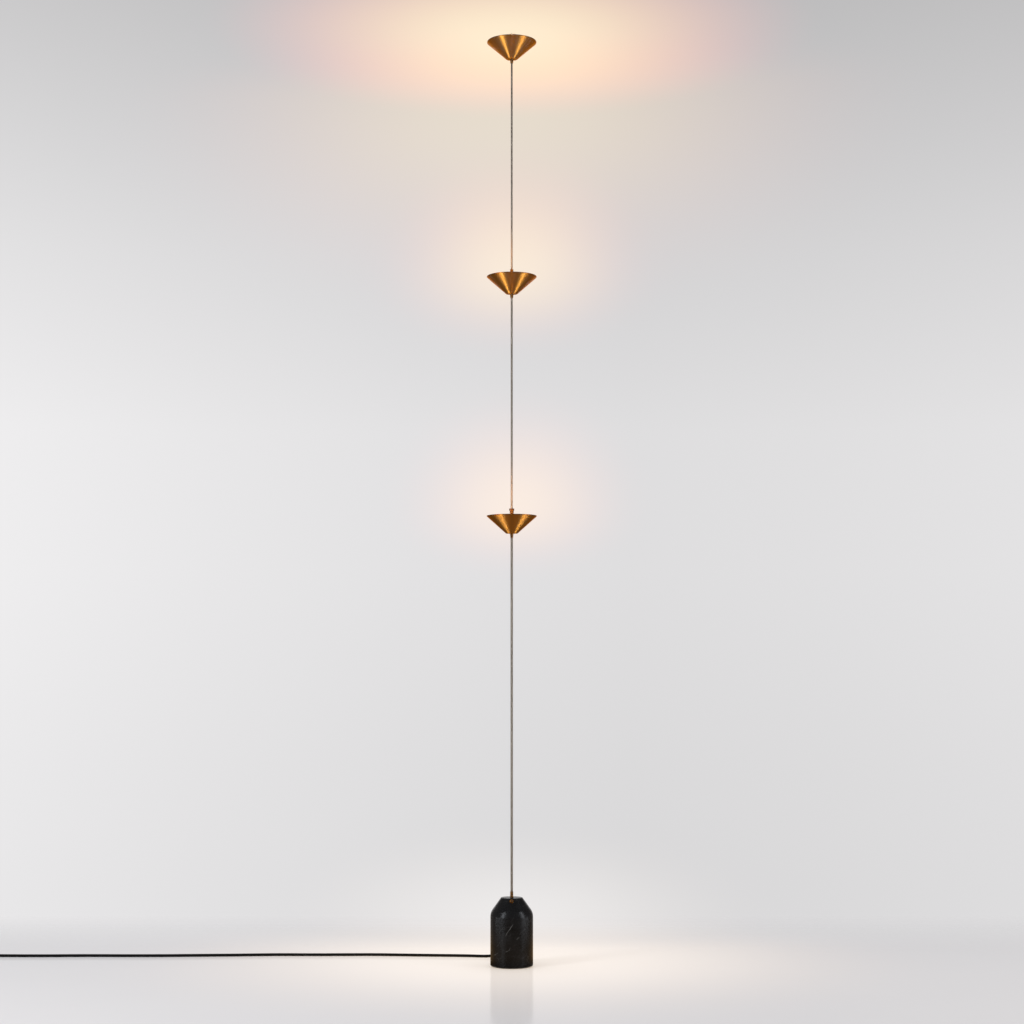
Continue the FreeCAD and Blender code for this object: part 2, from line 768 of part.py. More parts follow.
def feed_plug():
    return rod("feed_plug", S.middle_stem_radius - S.sliding_gap, S.feed_plug_height,
               MIDDLE_STEM_BOTTOM - S.feed_plug_height)


def coiled_feed():
    top = MIDDLE_STEM_BOTTOM - S.feed_plug_height
    return tube("coiled_feed", S.feed_radius, S.feed_bore, top - S.feed_bottom, S.feed_bottom)


def power_lead():
    return rod("power_lead", S.power_lead_radius, S.feed_bottom - DRIVER_TOP, DRIVER_TOP)


def pole_leads():
    """The leads inside the middle and the upper tube."""
    joint = stem_joint("middle").value
    runs = (
        (S.middle_lead_radius.value, MIDDLE_STEM_BOTTOM.value, joint),
        (S.upper_lead_radius.value, joint, stem_joint("upper").value),
    )
    return group("pole_leads", [
        Part.makeCylinder(radius, top - bottom, Vector(0, 0, bottom)) for radius, bottom, top in runs
    ])


# ---------------------------------------------------------------- one lamp head

def shade(head):
    hole = STEM_RADII[head] + S.seat_gap
    body = turned(f"shade_{head}", (
        (hole, 0),
        (S.shade_floor_radius, 0),
        (S.shade_rim_radius, S.shade_height - S.rim_band),
        (S.shade_rim_radius, S.shade_height),
        (S.shade_rim_radius - WALL_ACROSS, S.shade_height),
        (S.shade_rim_radius - WALL_ACROSS, S.shade_height - S.rim_band),
        (cone_inside(S.shade_wall), S.shade_wall),
        (hole, S.shade_wall),
    ), shade_floor(head))
    round_rings(body, f"floor_edge_{head}", S.shade_wall / 2, [(S.shade_floor_radius, 0)])
    return body


def ferrule(head):
    bore = STEM_RADII[head] + S.sliding_gap
    return turned(f"ferrule_{head}", (
        (bore, 0),
        (S.ferrule_tip, 0),
        (S.ferrule_top, S.ferrule_length),
        (bore, S.ferrule_length),
    ), shade_floor(head) - S.ferrule_length)


def hub(head):
    """Brass flange and post that hold the shade on the stem, as a half section."""
    bore = STEM_RADII[head] + S.fixed_gap
    rises = {"lower": S.lower_post_rise, "middle": S.middle_post_rise, "upper": S.upper_post_rise}
    flange_top = S.shade_wall + S.hub_flange
    top = S.shade_height + rises[head]
    upper_bores = {
        "lower": [(bore, top)],
        "middle": [(S.upper_stem_radius + S.fixed_gap, top),
                   (S.upper_stem_radius + S.fixed_gap, S.spring_seat), (bore, S.spring_seat)],
        "upper": [(S.spring_chamber_radius, top),
                  (S.spring_chamber_radius, S.spring_seat), (bore, S.spring_seat)],
    }
    corners = [
        (bore, S.shade_wall),
        (S.hub_flange_radius, S.shade_wall),
        (S.hub_flange_radius, flange_top),
        (S.post_radius, flange_top),
        (S.post_radius, top),
    ]
    return turned(f"hub_{head}", corners + upper_bores[head], shade_floor(head))


SINK_BOTTOM = S.shade_wall + S.hub_flange
SINK_TOP = SINK_BOTTOM + S.heat_sink_height


def heat_sink(head):
    bore = S.post_radius + S.fixed_gap
    body = turned(f"heat_sink_{head}", (
        (bore, SINK_BOTTOM),
        (cone_inside(SINK_BOTTOM) - S.seat_gap, SINK_BOTTOM),
        (cone_inside(SINK_TOP) - S.seat_gap, SINK_TOP),
        (bore, SINK_TOP),
    ), shade_floor(head))
    depth = S.board_screw_length - S.board_thickness
    pocket_ring(body, f"sink_hole_{head}", S.board_screw_circle, S.board_screw_radius + S.screw_gap,
                S.board_screw_count, SINK_TOP - depth - S.screw_gap, depth + S.screw_gap)
    return body


def led_board(head):
    body = turned(f"led_board_{head}", (
        (S.led_board_inner, 0),
        (S.led_board_outer, 0),
        (S.led_board_outer, S.board_thickness),
        (S.led_board_inner, S.board_thickness),
    ), shade_floor(head) + SINK_TOP)
    pocket_ring(body, f"board_hole_{head}", S.board_screw_circle, S.board_screw_radius + S.screw_gap,
                S.board_screw_count, 0, S.board_thickness)
    return body


def led_chips(head):
    side = S.chip_size.value
    corner = Vector(S.led_ring_radius.value - side / 2, -side / 2,
                    (shade_floor(head) + SINK_TOP + S.board_thickness).value)
    chip = Part.makeBox(side, side, S.chip_height.value, corner)
    return group(f"led_chips_{head}", round_the_axis(chip, int(S.chip_count.value)))


def board_screws(head):
    board_top = (shade_floor(head) + SINK_TOP + S.board_thickness).value
    length = S.board_screw_length.value
    radius = S.board_screw_circle.value
    shank = Part.makeCylinder(S.board_screw_radius.value, length, Vector(radius, 0, board_top - length))
    cap = Part.makeCylinder(S.board_screw_head.value, S.board_screw_head_height.value,
                            Vector(radius, 0, board_top))
    screw = shank.fuse(cap).removeSplitter()
    return group(f"board_screws_{head}", round_the_axis(screw, int(S.board_screw_count.value)))


def diffuser(head):
    low = S.diffuser_height
    high = S.diffuser_height + S.diffuser_thickness
    bore = S.post_radius + S.seat_gap
    return turned(f"diffuser_{head}", (
        (bore, low),
        (cone_inside(low) - S.seat_gap, low),
        (cone_inside(high) - S.seat_gap, high),
        (bore, high),
    ), shade_floor(head))


def lamp_head(head):
    makers = (shade, ferrule, hub, heat_sink, led_board, led_chips, board_screws, diffuser)
    return [make(head) for make in makers]


# ---------------------------------------------------------------- height lock

def collet():
    """Slotted sleeve that the lock collar squeezes onto the middle tube."""
    height = S.collar_neck_height + S.collar_ring_height - S.collar_top_wall - S.seat_gap
    bore = S.middle_stem_radius + S.sliding_gap
    sleeve = tube("collet_blank", S.collet_radius, bore, height, LOWER_POST_TOP)
    width = S.collet_slot.value
    slot_bottom = LOWER_POST_TOP.value + height.value / 3
    slot = Part.makeBox(S.collet_radius.value, width, height.value, Vector(width, -width / 2, slot_bottom))
    slots = group("collet_slots", round_the_axis(slot, int(S.collet_slot_count.value)))
    return less("collet", sleeve, [slots])


def lock_collar():
    """Knurled collar that is turned to grip or free the middle tube."""
    bore = S.collet_radius + S.sliding_gap
    neck = S.collar_neck_height
    top = neck + S.collar_ring_height
    ceiling = top - S.collar_top_wall
    groove_top = neck - S.collar_groove_width / 2
    groove_bottom = groove_top - S.collar_groove_width
    body = turned("lock_collar", (
        (bore, 0),
        (S.collar_neck_radius, 0),
        (S.collar_neck_radius, groove_bottom),
        (S.collar_groove_radius, groove_bottom),
        (S.collar_groove_radius, groove_top),
        (S.collar_neck_radius, groove_top),
        (S.collar_neck_radius, neck),
        (S.collar_ring_radius, neck),
        (S.collar_ring_radius, top),
        (S.middle_stem_radius + S.seat_gap, top),
        (S.middle_stem_radius + S.seat_gap, ceiling),
        (bore, ceiling),
    ), LOWER_POST_TOP)
    pocket_ring(body, "grip_flute", S.collar_ring_radius, S.grip_radius, S.grip_count,
                neck, S.collar_ring_height)
    return body


# ---------------------------------------------------------------- ceiling foot

def foot_spring():
    return tube("foot_spring", S.spring_radius, S.spring_radius - S.spring_wire, S.spring_length, SPRING_BOTTOM)


def foot_plunger():
    bottom = SPRING_BOTTOM + S.spring_length
    return rod("foot_plunger", S.spring_chamber_radius - S.sliding_gap, HOLDER_BOTTOM - bottom, bottom)


def pad_holder():
    return rod("pad_holder", S.pad_holder_radius, S.pad_holder_height, HOLDER_BOTTOM)


def ceiling_pad():
    inside = S.pad_holder_radius + S.screw_gap
    skirt = S.ceiling_pad_skirt
    top = skirt + S.ceiling_pad_thickness
    return turned("ceiling_pad", (
        (0, skirt),
        (inside, skirt),
        (inside, 0),
        (S.ceiling_pad_radius, 0),
        (S.ceiling_pad_radius, top),
        (0, top),
    ), S.ceiling_height - top)


# ---------------------------------------------------------------- mains lead

def gland_radius():
    return S.cord_radius + S.cord_play + S.gland_wall


GLAND_END = S.base_radius + S.gland_proud


def lead_sleeve(label, start, length, outer_start, outer_end):
    """A round sleeve on the lead's way out of the base, with the lead's own bore."""
    bore = S.cord_radius + S.cord_play
    sleeve = turned(label, (
        (bore, 0),
        (outer_start, 0),
        (outer_end, length),
        (bore, length),
    ))
    sleeve.Placement = Placement(Vector(0, 0, 0), TO_THE_BACK)
    move(sleeve, 0, start, S.cord_exit_height)
    return sleeve


def cable_gland():
    start = CAVITY_RADIUS - S.gland_proud
    return lead_sleeve("cable_gland", start, GLAND_END - start, gland_radius(), gland_radius())


def strain_relief():
    return lead_sleeve("strain_relief", GLAND_END, S.relief_length, S.relief_root_radius, S.relief_tip_radius)


def inner_mains_lead():
    start = S.driver_depth / 2 + S.terminal_depth
    lead = round_bar("inner_mains_lead", S.cord_radius, GLAND_END - start, TO_THE_BACK)
    return move(lead, 0, start, S.cord_exit_height)


def smooth_path(points):
    """Straight runs joined by tangent arcs, each as large as its two runs allow."""
    points = [Vector(*point) for point in points]
    edges = []
    radii = []
    here = points[0]
    for before, corner, after in zip(points, points[1:], points[2:]):
        back = before - corner
        ahead = after - corner
        shorter = min(back.Length, ahead.Length)
        turn = math.pi - back.getAngle(ahead)
        cut = SHARE_OF_RUN * shorter
        radius = cut / math.tan(turn / 2)
        start = corner + back.normalize() * cut
        end = corner + ahead.normalize() * cut
        inward = (back + ahead).normalize()
        middle = corner + inward * (radius / math.cos(turn / 2) - radius)
        edges.append(Part.LineSegment(here, start).toShape())
        edges.append(Part.Arc(start, middle, end).toShape())
        radii.append(radius)
        here = end
    edges.append(Part.LineSegment(here, points[-1]).toShape())
    return Part.Wire(edges), radii


def cord_tube(label, points):
    path, radii = smooth_path(points)
    start = Vector(*points[0])
    along = Vector(*points[1]) - start
    circle = Part.Wire([Part.makeCircle(S.cord_radius.value, start, along)])
    feature = DOC.addObject("Part::Feature", label)
    feature.Shape = path.makePipeShell([circle], True, False)
    expected = math.pi * S.cord_radius.value ** 2 * path.Length
    print(f"{label}: length {path.Length:.1f}, radii {[round(radius) for radius in radii]},",
          f"volume / expected {feature.Shape.Volume / expected:.5f}")
    return feature


def mains_lead():
    points = list(CORD_POINTS)
    points[0] = (0, GLAND_END.value, S.cord_exit_height.value)
    return cord_tube("mains_lead", points)


def mains_lead_end():
    return cord_tube("mains_lead_end", CORD_END_POINTS)


def mains_lead_coil():
    """Outer shape of the put-away turns."""
    half = S.cord_radius * S.coil_turns_wide
    inner = S.coil_radius - half
    outer = S.coil_radius + half
    body = turned("mains_lead_coil", ((inner, 0), (outer, 0), (outer, 2 * half), (inner, 2 * half)))
    round_rings(body, "coil_rounding", S.coil_edge_round,
                [(radius, height) for radius in (inner, outer) for height in (0, 2 * half)])
    body.Placement = Placement(Vector(*COIL_CENTRE), Rotation())
    return body


PLUG_BACK = Vector(*CORD_END_POINTS[-1])


def plug_body():
    """Flat two-pin plug on the floor, with its tapered neck, pointing to -Y."""
    half_back = S.plug_width / 2
    half_nose = S.plug_nose_width / 2
    length = S.plug_length
    shell = straight_sided("plug_shell", (
        (-half_back, 0),
        (-half_nose, -length),
        (half_nose, -length),
        (half_back, 0),
    ), S.plug_thickness)
    neck_end = PLUG_BACK.y - S.plug_neck_length.value
    shell_bottom = PLUG_BACK.z - S.plug_thickness.value / 2
    shell.Placement = Placement(Vector(PLUG_BACK.x, neck_end, shell_bottom), Rotation())
    neck = DOC.addObject("Part::Cone", "plug_neck")
    bind(neck, "Radius1", S.plug_neck_radius)
    bind(neck, "Radius2", S.cord_radius)
    bind(neck, "Height", S.plug_neck_length)
    neck.Placement = Placement(Vector(PLUG_BACK.x, neck_end, PLUG_BACK.z), TO_THE_BACK)
    return joined("plug_body", [shell, neck])


def plug_pins():
    face = PLUG_BACK.y - S.plug_neck_length.value - S.plug_length.value
    pins = []
    for side in (-0.5, 0.5):
        start = Vector(PLUG_BACK.x + side * S.plug_pin_spacing.value, face, PLUG_BACK.z)
        pins.append(Part.makeCylinder(S.plug_pin_radius.value, S.plug_pin_length.value, start, Vector(0, -1, 0)))
    return group("plug_pins", pins)


# ---------------------------------------------------------------- the whole lamp

def build_lamp():
    makers = (
        marble_base, foot_pad, bottom_cover, cover_screws, base_ferrule, stem_washer, stem_nut,
        driver_case, driver_lid, driver_board, terminal_block,
        button_bush, dimmer_switch, dimmer_button, switch_lead,
        lower_stem, middle_stem, upper_stem, feed_plug, coiled_feed, power_lead, pole_leads,
        collet, lock_collar,
        foot_spring, foot_plunger, pad_holder, ceiling_pad,
        cable_gland, strain_relief, inner_mains_lead,
        mains_lead, mains_lead_end, mains_lead_coil, plug_body, plug_pins,
    )
    pieces = [make() for make in makers]
    for head in HEADS:
        pieces.extend(lamp_head(head))
    DOC.recompute()
    return pieces


def check_document():
    for thing in DOC.Objects:
        if "Invalid" in thing.State or "Error" in thing.State:
            raise RuntimeError(f"{thing.Label} failed: {thing.State}")


def write_parts(pieces):
    os.makedirs(PARTS_FOLDER, exist_ok=True)
    for piece in pieces:
        shape = piece.Shape
        if shape.isNull() or not shape.isValid() or not shape.Solids:
            raise RuntimeError(f"{piece.Label} has no valid solid")
        shape.exportStep(os.path.join(PARTS_FOLDER, f"{piece.Label}.step"))
    print(f"{len(pieces)} parts written")


LAMP = build_lamp()
check_document()
write_parts(LAMP)
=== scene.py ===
"""Looks of a floor-to-ceiling pole lamp: brass cones, twisted steel stem, black marble base.

Metres, +Z up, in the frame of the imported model.  The dimmer button faces -Y, and the
mains lead leaves the base towards +Y.
"""
import json
import math

import bmesh
import bpy
from mathutils import Matrix, Vector

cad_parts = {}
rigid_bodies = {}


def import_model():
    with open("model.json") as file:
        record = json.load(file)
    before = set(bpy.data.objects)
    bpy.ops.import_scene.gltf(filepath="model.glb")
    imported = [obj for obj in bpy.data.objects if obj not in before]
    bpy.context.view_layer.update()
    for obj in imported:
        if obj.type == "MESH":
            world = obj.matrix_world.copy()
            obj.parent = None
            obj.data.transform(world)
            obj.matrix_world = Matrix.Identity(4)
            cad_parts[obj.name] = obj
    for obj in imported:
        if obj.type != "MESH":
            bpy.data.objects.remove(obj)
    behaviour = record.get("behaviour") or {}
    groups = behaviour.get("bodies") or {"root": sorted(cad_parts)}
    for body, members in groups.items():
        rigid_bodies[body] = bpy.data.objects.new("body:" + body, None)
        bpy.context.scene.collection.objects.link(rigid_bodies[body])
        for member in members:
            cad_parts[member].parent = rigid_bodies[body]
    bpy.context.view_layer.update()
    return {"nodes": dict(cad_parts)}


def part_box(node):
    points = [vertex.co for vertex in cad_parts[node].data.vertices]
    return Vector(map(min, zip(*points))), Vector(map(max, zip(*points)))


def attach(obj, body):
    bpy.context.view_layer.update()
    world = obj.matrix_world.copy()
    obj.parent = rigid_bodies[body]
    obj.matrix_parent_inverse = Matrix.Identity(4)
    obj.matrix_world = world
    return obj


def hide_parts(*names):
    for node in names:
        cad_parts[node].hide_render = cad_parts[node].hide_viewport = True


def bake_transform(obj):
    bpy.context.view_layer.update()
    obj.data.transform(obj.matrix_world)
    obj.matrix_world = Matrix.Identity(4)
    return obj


bl_info = {
    "name": "Pole Lamp",
    "version": (1, 0, 0),
    "blender": (4, 5, 0),
    "location": "View3D > Sidebar > Pole Lamp",
    "description": "Dresses a floor-to-ceiling pole lamp and sets up its studio",
    "category": "Object",
}

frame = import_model()
NODES = frame["nodes"]

MM = 0.001
HEADS = {"lower": "base", "middle": "upper_pole", "upper": "upper_pole"}


# ---------------------------------------------------------------- sizes read from the frame

def low(node):
    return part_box(node)[0]


def high(node):
    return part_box(node)[1]


def middle(node):
    return (low(node) + high(node)) / 2


def radius_of(node):
    """Largest radius of a node that is turned about the lamp's axis."""
    return high(node).x


# ---------------------------------------------------------------- what a user would change

def linear(hex_colour):
    """An sRGB hex colour as linear red, green and blue."""
    channels = [int(hex_colour[at:at + 2], 16) / 255 for at in (0, 2, 4)]
    return tuple(c / 12.92 if c <= 0.04045 else ((c + 0.055) / 1.055) ** 2.4 for c in channels)


def colour_property(name, description, hex_colour):
    return bpy.props.FloatVectorProperty(
        name=name, description=description, default=linear(hex_colour),
        subtype="COLOR", size=3, min=0, max=1)


def length_property(name, description, default):
    return bpy.props.FloatProperty(
        name=name, description=description, default=default, unit="LENGTH", min=0)


class LampColours(bpy.types.PropertyGroup):
    brass: colour_property("Brass", "Dark lacquered brass of the shades and fittings", "CC8A38")
    marble: colour_property("Marble", "Ground of the black marble", "131314")
    vein: colour_property("Veins", "Calcite veins of the marble", "8A8A88")
    stem: colour_property("Stem", "Steel of the pole's tubes", "8E857A")
    lead: colour_property("Mains lead", "PVC sheath of the mains lead", "0D0D0E")
    light: colour_property("Light", "Warm white of the light units", "FFD6A0")


class LampSizes(bpy.types.PropertyGroup):
    lead_diameter: length_property(
        "Lead diameter", "Mains lead, outside", 2 * high("inner_mains_lead").x)
    lead_length: length_property(
        "Lead length", "Mains lead, from the base to its plug", 2.49)
    strand_pitch: length_property(
        "Strand pitch", "Height between neighbouring ridges of the twisted tubes", 6.1 * MM)
    groove_depth: length_property("Groove depth", "Between two ridges of a twisted tube", 0.12 * MM)
    edge_round: length_property("Edge rounding", "Broken edges of the turned brass", 0.3 * MM)


class StudioSettings(bpy.types.PropertyGroup):
    camera_distance: length_property("Camera distance", "Camera to the lamp's axis", 5.294)
    camera_height: length_property("Camera height", "Camera above the floor", 0.7541)
    camera_side: length_property("Camera side", "Camera to the right of the lamp's axis", 0.0007)
    camera_tilt: bpy.props.FloatProperty(
        name="Camera tilt", description="Upwards from the horizon",
        default=math.radians(4.75), subtype="ANGLE")
    lens: bpy.props.FloatProperty(
        name="Lens", description="Focal length on a 36 mm sensor, in millimetres",
        default=69.96, min=1)
    left_power: bpy.props.FloatProperty(
        name="Left softbox", description="Power of the left softbox in watts",
        default=34, subtype="POWER")
    right_power: bpy.props.FloatProperty(
        name="Right softbox", description="Power of the right softbox in watts",
        default=16, subtype="POWER")
    lamp_power: bpy.props.FloatProperty(
        name="Lamp light", description="Power of the light inside each shade in watts",
        default=0.12, subtype="POWER")


def colours():
    return bpy.context.scene.lamp_colours


def sizes():
    return bpy.context.scene.lamp_sizes


def studio():
    return bpy.context.scene.lamp_studio


# ---------------------------------------------------------------- material nodes

def add(tree, kind, links=None, **settings):
    """Adds a node with its settings, and its inputs as values or as links from sockets."""
    node = tree.nodes.new(kind)
    for name, value in settings.items():
        setattr(node, name, value)
    for name, value in (links or {}).items():
        if isinstance(value, bpy.types.NodeSocket):
            tree.links.new(value, node.inputs[name])
        else:
            node.inputs[name].default_value = value
    return node


def new_material(name):
    """An empty material and its tree."""
    material = bpy.data.materials.new(name)
    material.use_nodes = True
    material.node_tree.nodes.clear()
    return material, material.node_tree


def opaque(colour):
    return (*colour, 1.0)


def shaded(colour, share):
    """A darker or lighter shade of a colour."""
    return opaque([min(1.0, channel * share) for channel in colour])


def finish_with(tree, shader):
    add(tree, "ShaderNodeOutputMaterial", {"Surface": shader.outputs[0]})


def position(tree):
    """The point on the lamp, in metres."""
    return add(tree, "ShaderNodeTexCoord").outputs["Object"]


def math_node(tree, operation, first, second=0.0, third=0.0):
    return add(tree, "ShaderNodeMath", {0: first, 1: second, 2: third}, operation=operation).outputs[0]


def noise(tree, point, size_mm, detail=3.0, roughness=0.5):
    """Soft cloudy noise whose patches measure about size_mm."""
    node = add(tree, "ShaderNodeTexNoise", {
        "Vector": point, "Scale": 1 / (size_mm * MM), "Detail": detail, "Roughness": roughness})
    return node.outputs["Fac"]


def turning_lines(tree, point, spacing_mm):
    """Fine lines that run round the lamp's axis, as a turning tool leaves them.

    They count along the height and the radius together, so flat faces have them too.
    """
    radius_share = 0.7
    across = add(tree, "ShaderNodeSeparateXYZ", {0: point})
    flat = add(tree, "ShaderNodeCombineXYZ", {"X": across.outputs["X"], "Y": across.outputs["Y"]})
    radius = add(tree, "ShaderNodeVectorMath", {0: flat.outputs[0]}, operation="LENGTH").outputs["Value"]
    along = math_node(tree, "MULTIPLY_ADD", radius, radius_share, across.outputs["Z"])
    lines = add(tree, "ShaderNodeTexNoise", {
        "W": along, "Scale": 1 / (spacing_mm * MM), "Detail": 4.0, "Roughness": 0.7},
        noise_dimensions="1D")
    return lines.outputs["Fac"]


def mix(tree, share, first, second):
    """Mixes two colours, with the given share of the second."""
    mixed = add(tree, "ShaderNodeMix", {"Factor": share, "A": first, "B": second}, data_type="RGBA")
    return mixed.outputs["Result"]


def between(tree, factor, first, second, low_end=0.3, high_end=0.7):
    """Blends two colours over a factor's range."""
    share = add(tree, "ShaderNodeMapRange", {
        "Value": factor, "From Min": low_end, "From Max": high_end})
    return mix(tree, share.outputs[0], first, second)


def value_between(tree, factor, first, second, low_end=0.3, high_end=0.7):
    """Goes from the first value to the second over a factor's range."""
    return add(tree, "ShaderNodeMapRange", {
        "Value": factor, "From Min": low_end, "From Max": high_end,
        "To Min": first, "To Max": second}).outputs[0]


def ramp(tree, factor, stops):
    """A grey level that goes through (place, level) stops."""
    node = add(tree, "ShaderNodeValToRGB", {"Fac": factor})
    for element, (place, level) in zip(node.color_ramp.elements, (stops[0], stops[-1])):
        element.position = place
        element.color = (level, level, level, 1)
    for place, level in stops[1:-1]:
        element = node.color_ramp.elements.new(place)
        element.color = (level, level, level, 1)
    return node.outputs["Color"]


def bump(tree, height, depth_mm, strength=1.0):
    return add(tree, "ShaderNodeBump", {
        "Height": height, "Distance": depth_mm * MM, "Strength": strength}).outputs[0]


# ---------------------------------------------------------------- materials

def turned_brass(name, shade=1.0, roughness=0.46, line_spacing_mm=0.5):
    """Spun and turned CuZn37 brass under clear lacquer.

    The tool's fine rings draw each reflection out across them, into the bright streaks
    that run down the cones.  Real rings are about 0.1 mm apart; these are drawn coarser.
    """
    drawn_out = 0.97
    across_the_rings = 0.25
    lacquer_share = 0.025
    material, tree = new_material(name)
    point = position(tree)
    lines = turning_lines(tree, point, line_spacing_mm)
    cloud = noise(tree, point, 45)
    brass = colours().brass
    rings = between(tree, lines, shaded(brass, 0.82 * shade), shaded(brass, 1.08 * shade))
    warm = between(tree, cloud, shaded(brass, 0.93 * shade), shaded(brass, 1.0 * shade))
    colour = mix(tree, 0.4, rings, warm)
    tangent = add(tree, "ShaderNodeTangent", direction_type="RADIAL", axis="Z").outputs[0]
    bumped = bump(tree, lines, 0.02, 0.2)
    shader = add(tree, "ShaderNodeBsdfPrincipled", {
        "Base Color": colour,
        "Metallic": 1.0,
        "Roughness": value_between(tree, lines, roughness - 0.05, roughness + 0.07),
        "Anisotropic": drawn_out,
        "Anisotropic Rotation": across_the_rings,
        "Specular Tint": (1.0, 0.6, 0.32, 1.0),
        "Tangent": tangent,
        "Normal": bumped,
    })
    # The lacquer lies in the rings too, so its own white reflection is drawn out as well.
    lacquer = add(tree, "ShaderNodeBsdfAnisotropic", {
        "Color": (1, 1, 1, 1), "Roughness": roughness, "Anisotropy": drawn_out,
        "Rotation": across_the_rings, "Tangent": tangent, "Normal": bumped})
    finish_with(tree, add(tree, "ShaderNodeMixShader", {
        0: lacquer_share, 1: shader.outputs[0], 2: lacquer.outputs[0]}))
    return material


def black_marble():
    """Black marble, sawn, turned and honed to a soft polish.

    Its ground is nearly black with grey clouds, its calcite veins are thin, pale and
    diagonal, and the hone leaves broad soft highlights.
    """
    material, tree = new_material("honed_black_marble")
    point = position(tree)
    ground = colours().marble
    cloud = noise(tree, point, 38, detail=6.0, roughness=0.62)
    colour = between(tree, cloud, shaded(ground, 0.55), shaded(ground, 1.7), 0.35, 0.75)

    wander = add(tree, "ShaderNodeTexNoise", {
        "Vector": point, "Scale": 1 / (22 * MM), "Detail": 5.0, "Roughness": 0.6})
    shift = add(tree, "ShaderNodeVectorMath", {
        0: wander.outputs["Color"], 1: (0.5, 0.5, 0.5)}, operation="SUBTRACT")
    bent = add(tree, "ShaderNodeVectorMath", {
        0: shift.outputs[0], 1: (0.011, 0.011, 0.011), 2: point}, operation="MULTIPLY_ADD").outputs[0]

    # Main veins: short bent planes, each named by its middle on the front of the base,
    # its slope, its length and its half thickness.
    veins = None
    around = radius_of("marble_base") / MM
    for (across, height), slope, long_mm, half_mm, paleness in MAIN_VEINS:
        turn = math.radians(slope)
        normal = Vector((-math.sin(turn), 0.12, math.cos(turn))).normalized()
        on_vein = Vector((across, -math.sqrt(around ** 2 - across ** 2), height)) * MM
        along = add(tree, "ShaderNodeVectorMath", {0: bent, 1: normal}, operation="DOT_PRODUCT")
        distance = math_node(tree, "SUBTRACT", along.outputs["Value"], on_vein.dot(normal))
        line = value_between(tree, math_node(tree, "ABSOLUTE", distance), paleness, 0.0, 0.0, half_mm * MM)
        away = add(tree, "ShaderNodeVectorMath", {0: point, 1: on_vein}, operation="DISTANCE")
        reach = long_mm / 2 * MM
        seen = value_between(tree, away.outputs["Value"], 1.0, 0.0, 0.6 * reach, 1.1 * reach)
        vein = math_node(tree, "MULTIPLY", line, seen)
        veins = vein if veins is None else math_node(tree, "MAXIMUM", veins, vein)

    # A faint net of hairline veins fills the ground between them.
    cells = add(tree, "ShaderNodeTexVoronoi", {
        "Vector": bent, "Scale": 1 / (34 * MM)}, feature="DISTANCE_TO_EDGE")
    hairline = value_between(tree, cells.outputs["Distance"], 0.10, 0.0, 0.0, 0.02)
    faint = value_between(tree, noise(tree, point, 52, detail=2.0), 0.0, 1.0, 0.5, 0.62)
    hairline = math_node(tree, "MULTIPLY", hairline, faint)
    veins = math_node(tree, "MAXIMUM", veins, hairline)
    stone = mix(tree, veins, colour, opaque(colours().vein))
    shader = add(tree, "ShaderNodeBsdfPrincipled", {
        "Base Color": stone,
        "Roughness": value_between(tree, noise(tree, point, 6), 0.25, 0.29),
        "IOR": 1.5,
        "Specular IOR Level": 0.2,
        "Normal": bump(tree, noise(tree, point, 1.2, detail=4.0), 0.02, 0.08),
    })
    finish_with(tree, shader)
    return material


# (across and height in mm), slope in degrees, length, half thickness in mm, paleness
MAIN_VEINS = (
    ((-6.5, 100), 61, 37, 0.75, 0.75),
    ((16, 78.5), 36, 9, 0.6, 0.5),
    ((-10, 49), 38, 19, 0.6, 0.5),
    ((-41, 35), 27, 19, 0.6, 0.4),
    ((-30, 66), 42, 30, 0.6, 0.12),
    ((30, 96), 48, 30, 0.7, 0.14),
    ((33, 30), 40, 20, 0.6, 0.12),
    ((2, 128), 55, 16, 0.5, 0.15),
)


def twisted_steel():
    """Stainless steel 1.4301 tube, drawn through a twisting die and satin finished."""
    material, tree = new_material("satin_twisted_steel")
    point = position(tree)
    stem = colours().stem
    # Drawing lines run along the tube, about 0.3 mm apart.
    drawn = add(tree, "ShaderNodeMapping", {"Vector": point, "Scale": (1.0, 1.0, 0.02)}).outputs[0]
    lines = noise(tree, drawn, 0.3, detail=3.0)
    cloud = noise(tree, point, 60)
    worn = between(tree, cloud, shaded(stem, 0.85), shaded(stem, 1.08))
    fine = between(tree, lines, shaded(stem, 0.8), shaded(stem, 1.1))
    colour = mix(tree, 0.5, worn, fine)
    shader = add(tree, "ShaderNodeBsdfPrincipled", {
        "Base Color": colour,
        "Metallic": 1.0,
        "Roughness": value_between(tree, lines, 0.42, 0.55),
        "Normal": bump(tree, lines, 0.01, 0.3),
    })
    finish_with(tree, shader)
    return material


def plated_steel():
    """Mild steel with bright zinc plating, slightly clouded by its passivation."""
    material, tree = new_material("zinc_plated_steel")
    point = position(tree)
    cloud = noise(tree, point, 4, detail=5.0)
    shader = add(tree, "ShaderNodeBsdfPrincipled", {
        "Base Color": between(tree, cloud, opaque(linear("9FA1A3")), opaque(linear("BFC0BE"))),
        "Metallic": 1.0,
        "Roughness": value_between(tree, cloud, 0.28, 0.42),
        "Normal": bump(tree, noise(tree, point, 0.8), 0.01, 0.3),
    })
    finish_with(tree, shader)
    return material


def turned_aluminium():
    """6061 aluminium, turned and left bare: pale grey with fine rings."""
    material, tree = new_material("turned_aluminium")
    point = position(tree)
    lines = turning_lines(tree, point, 0.4)
    shader = add(tree, "ShaderNodeBsdfPrincipled", {
        "Base Color": between(tree, lines, opaque(linear("C4C5C8")), opaque(linear("DEDFE0"))),
        "Metallic": 1.0,
        "Roughness": value_between(tree, lines, 0.3, 0.42),
        "Normal": bump(tree, lines, 0.02, 0.4),
    })
    finish_with(tree, shader)
    return material


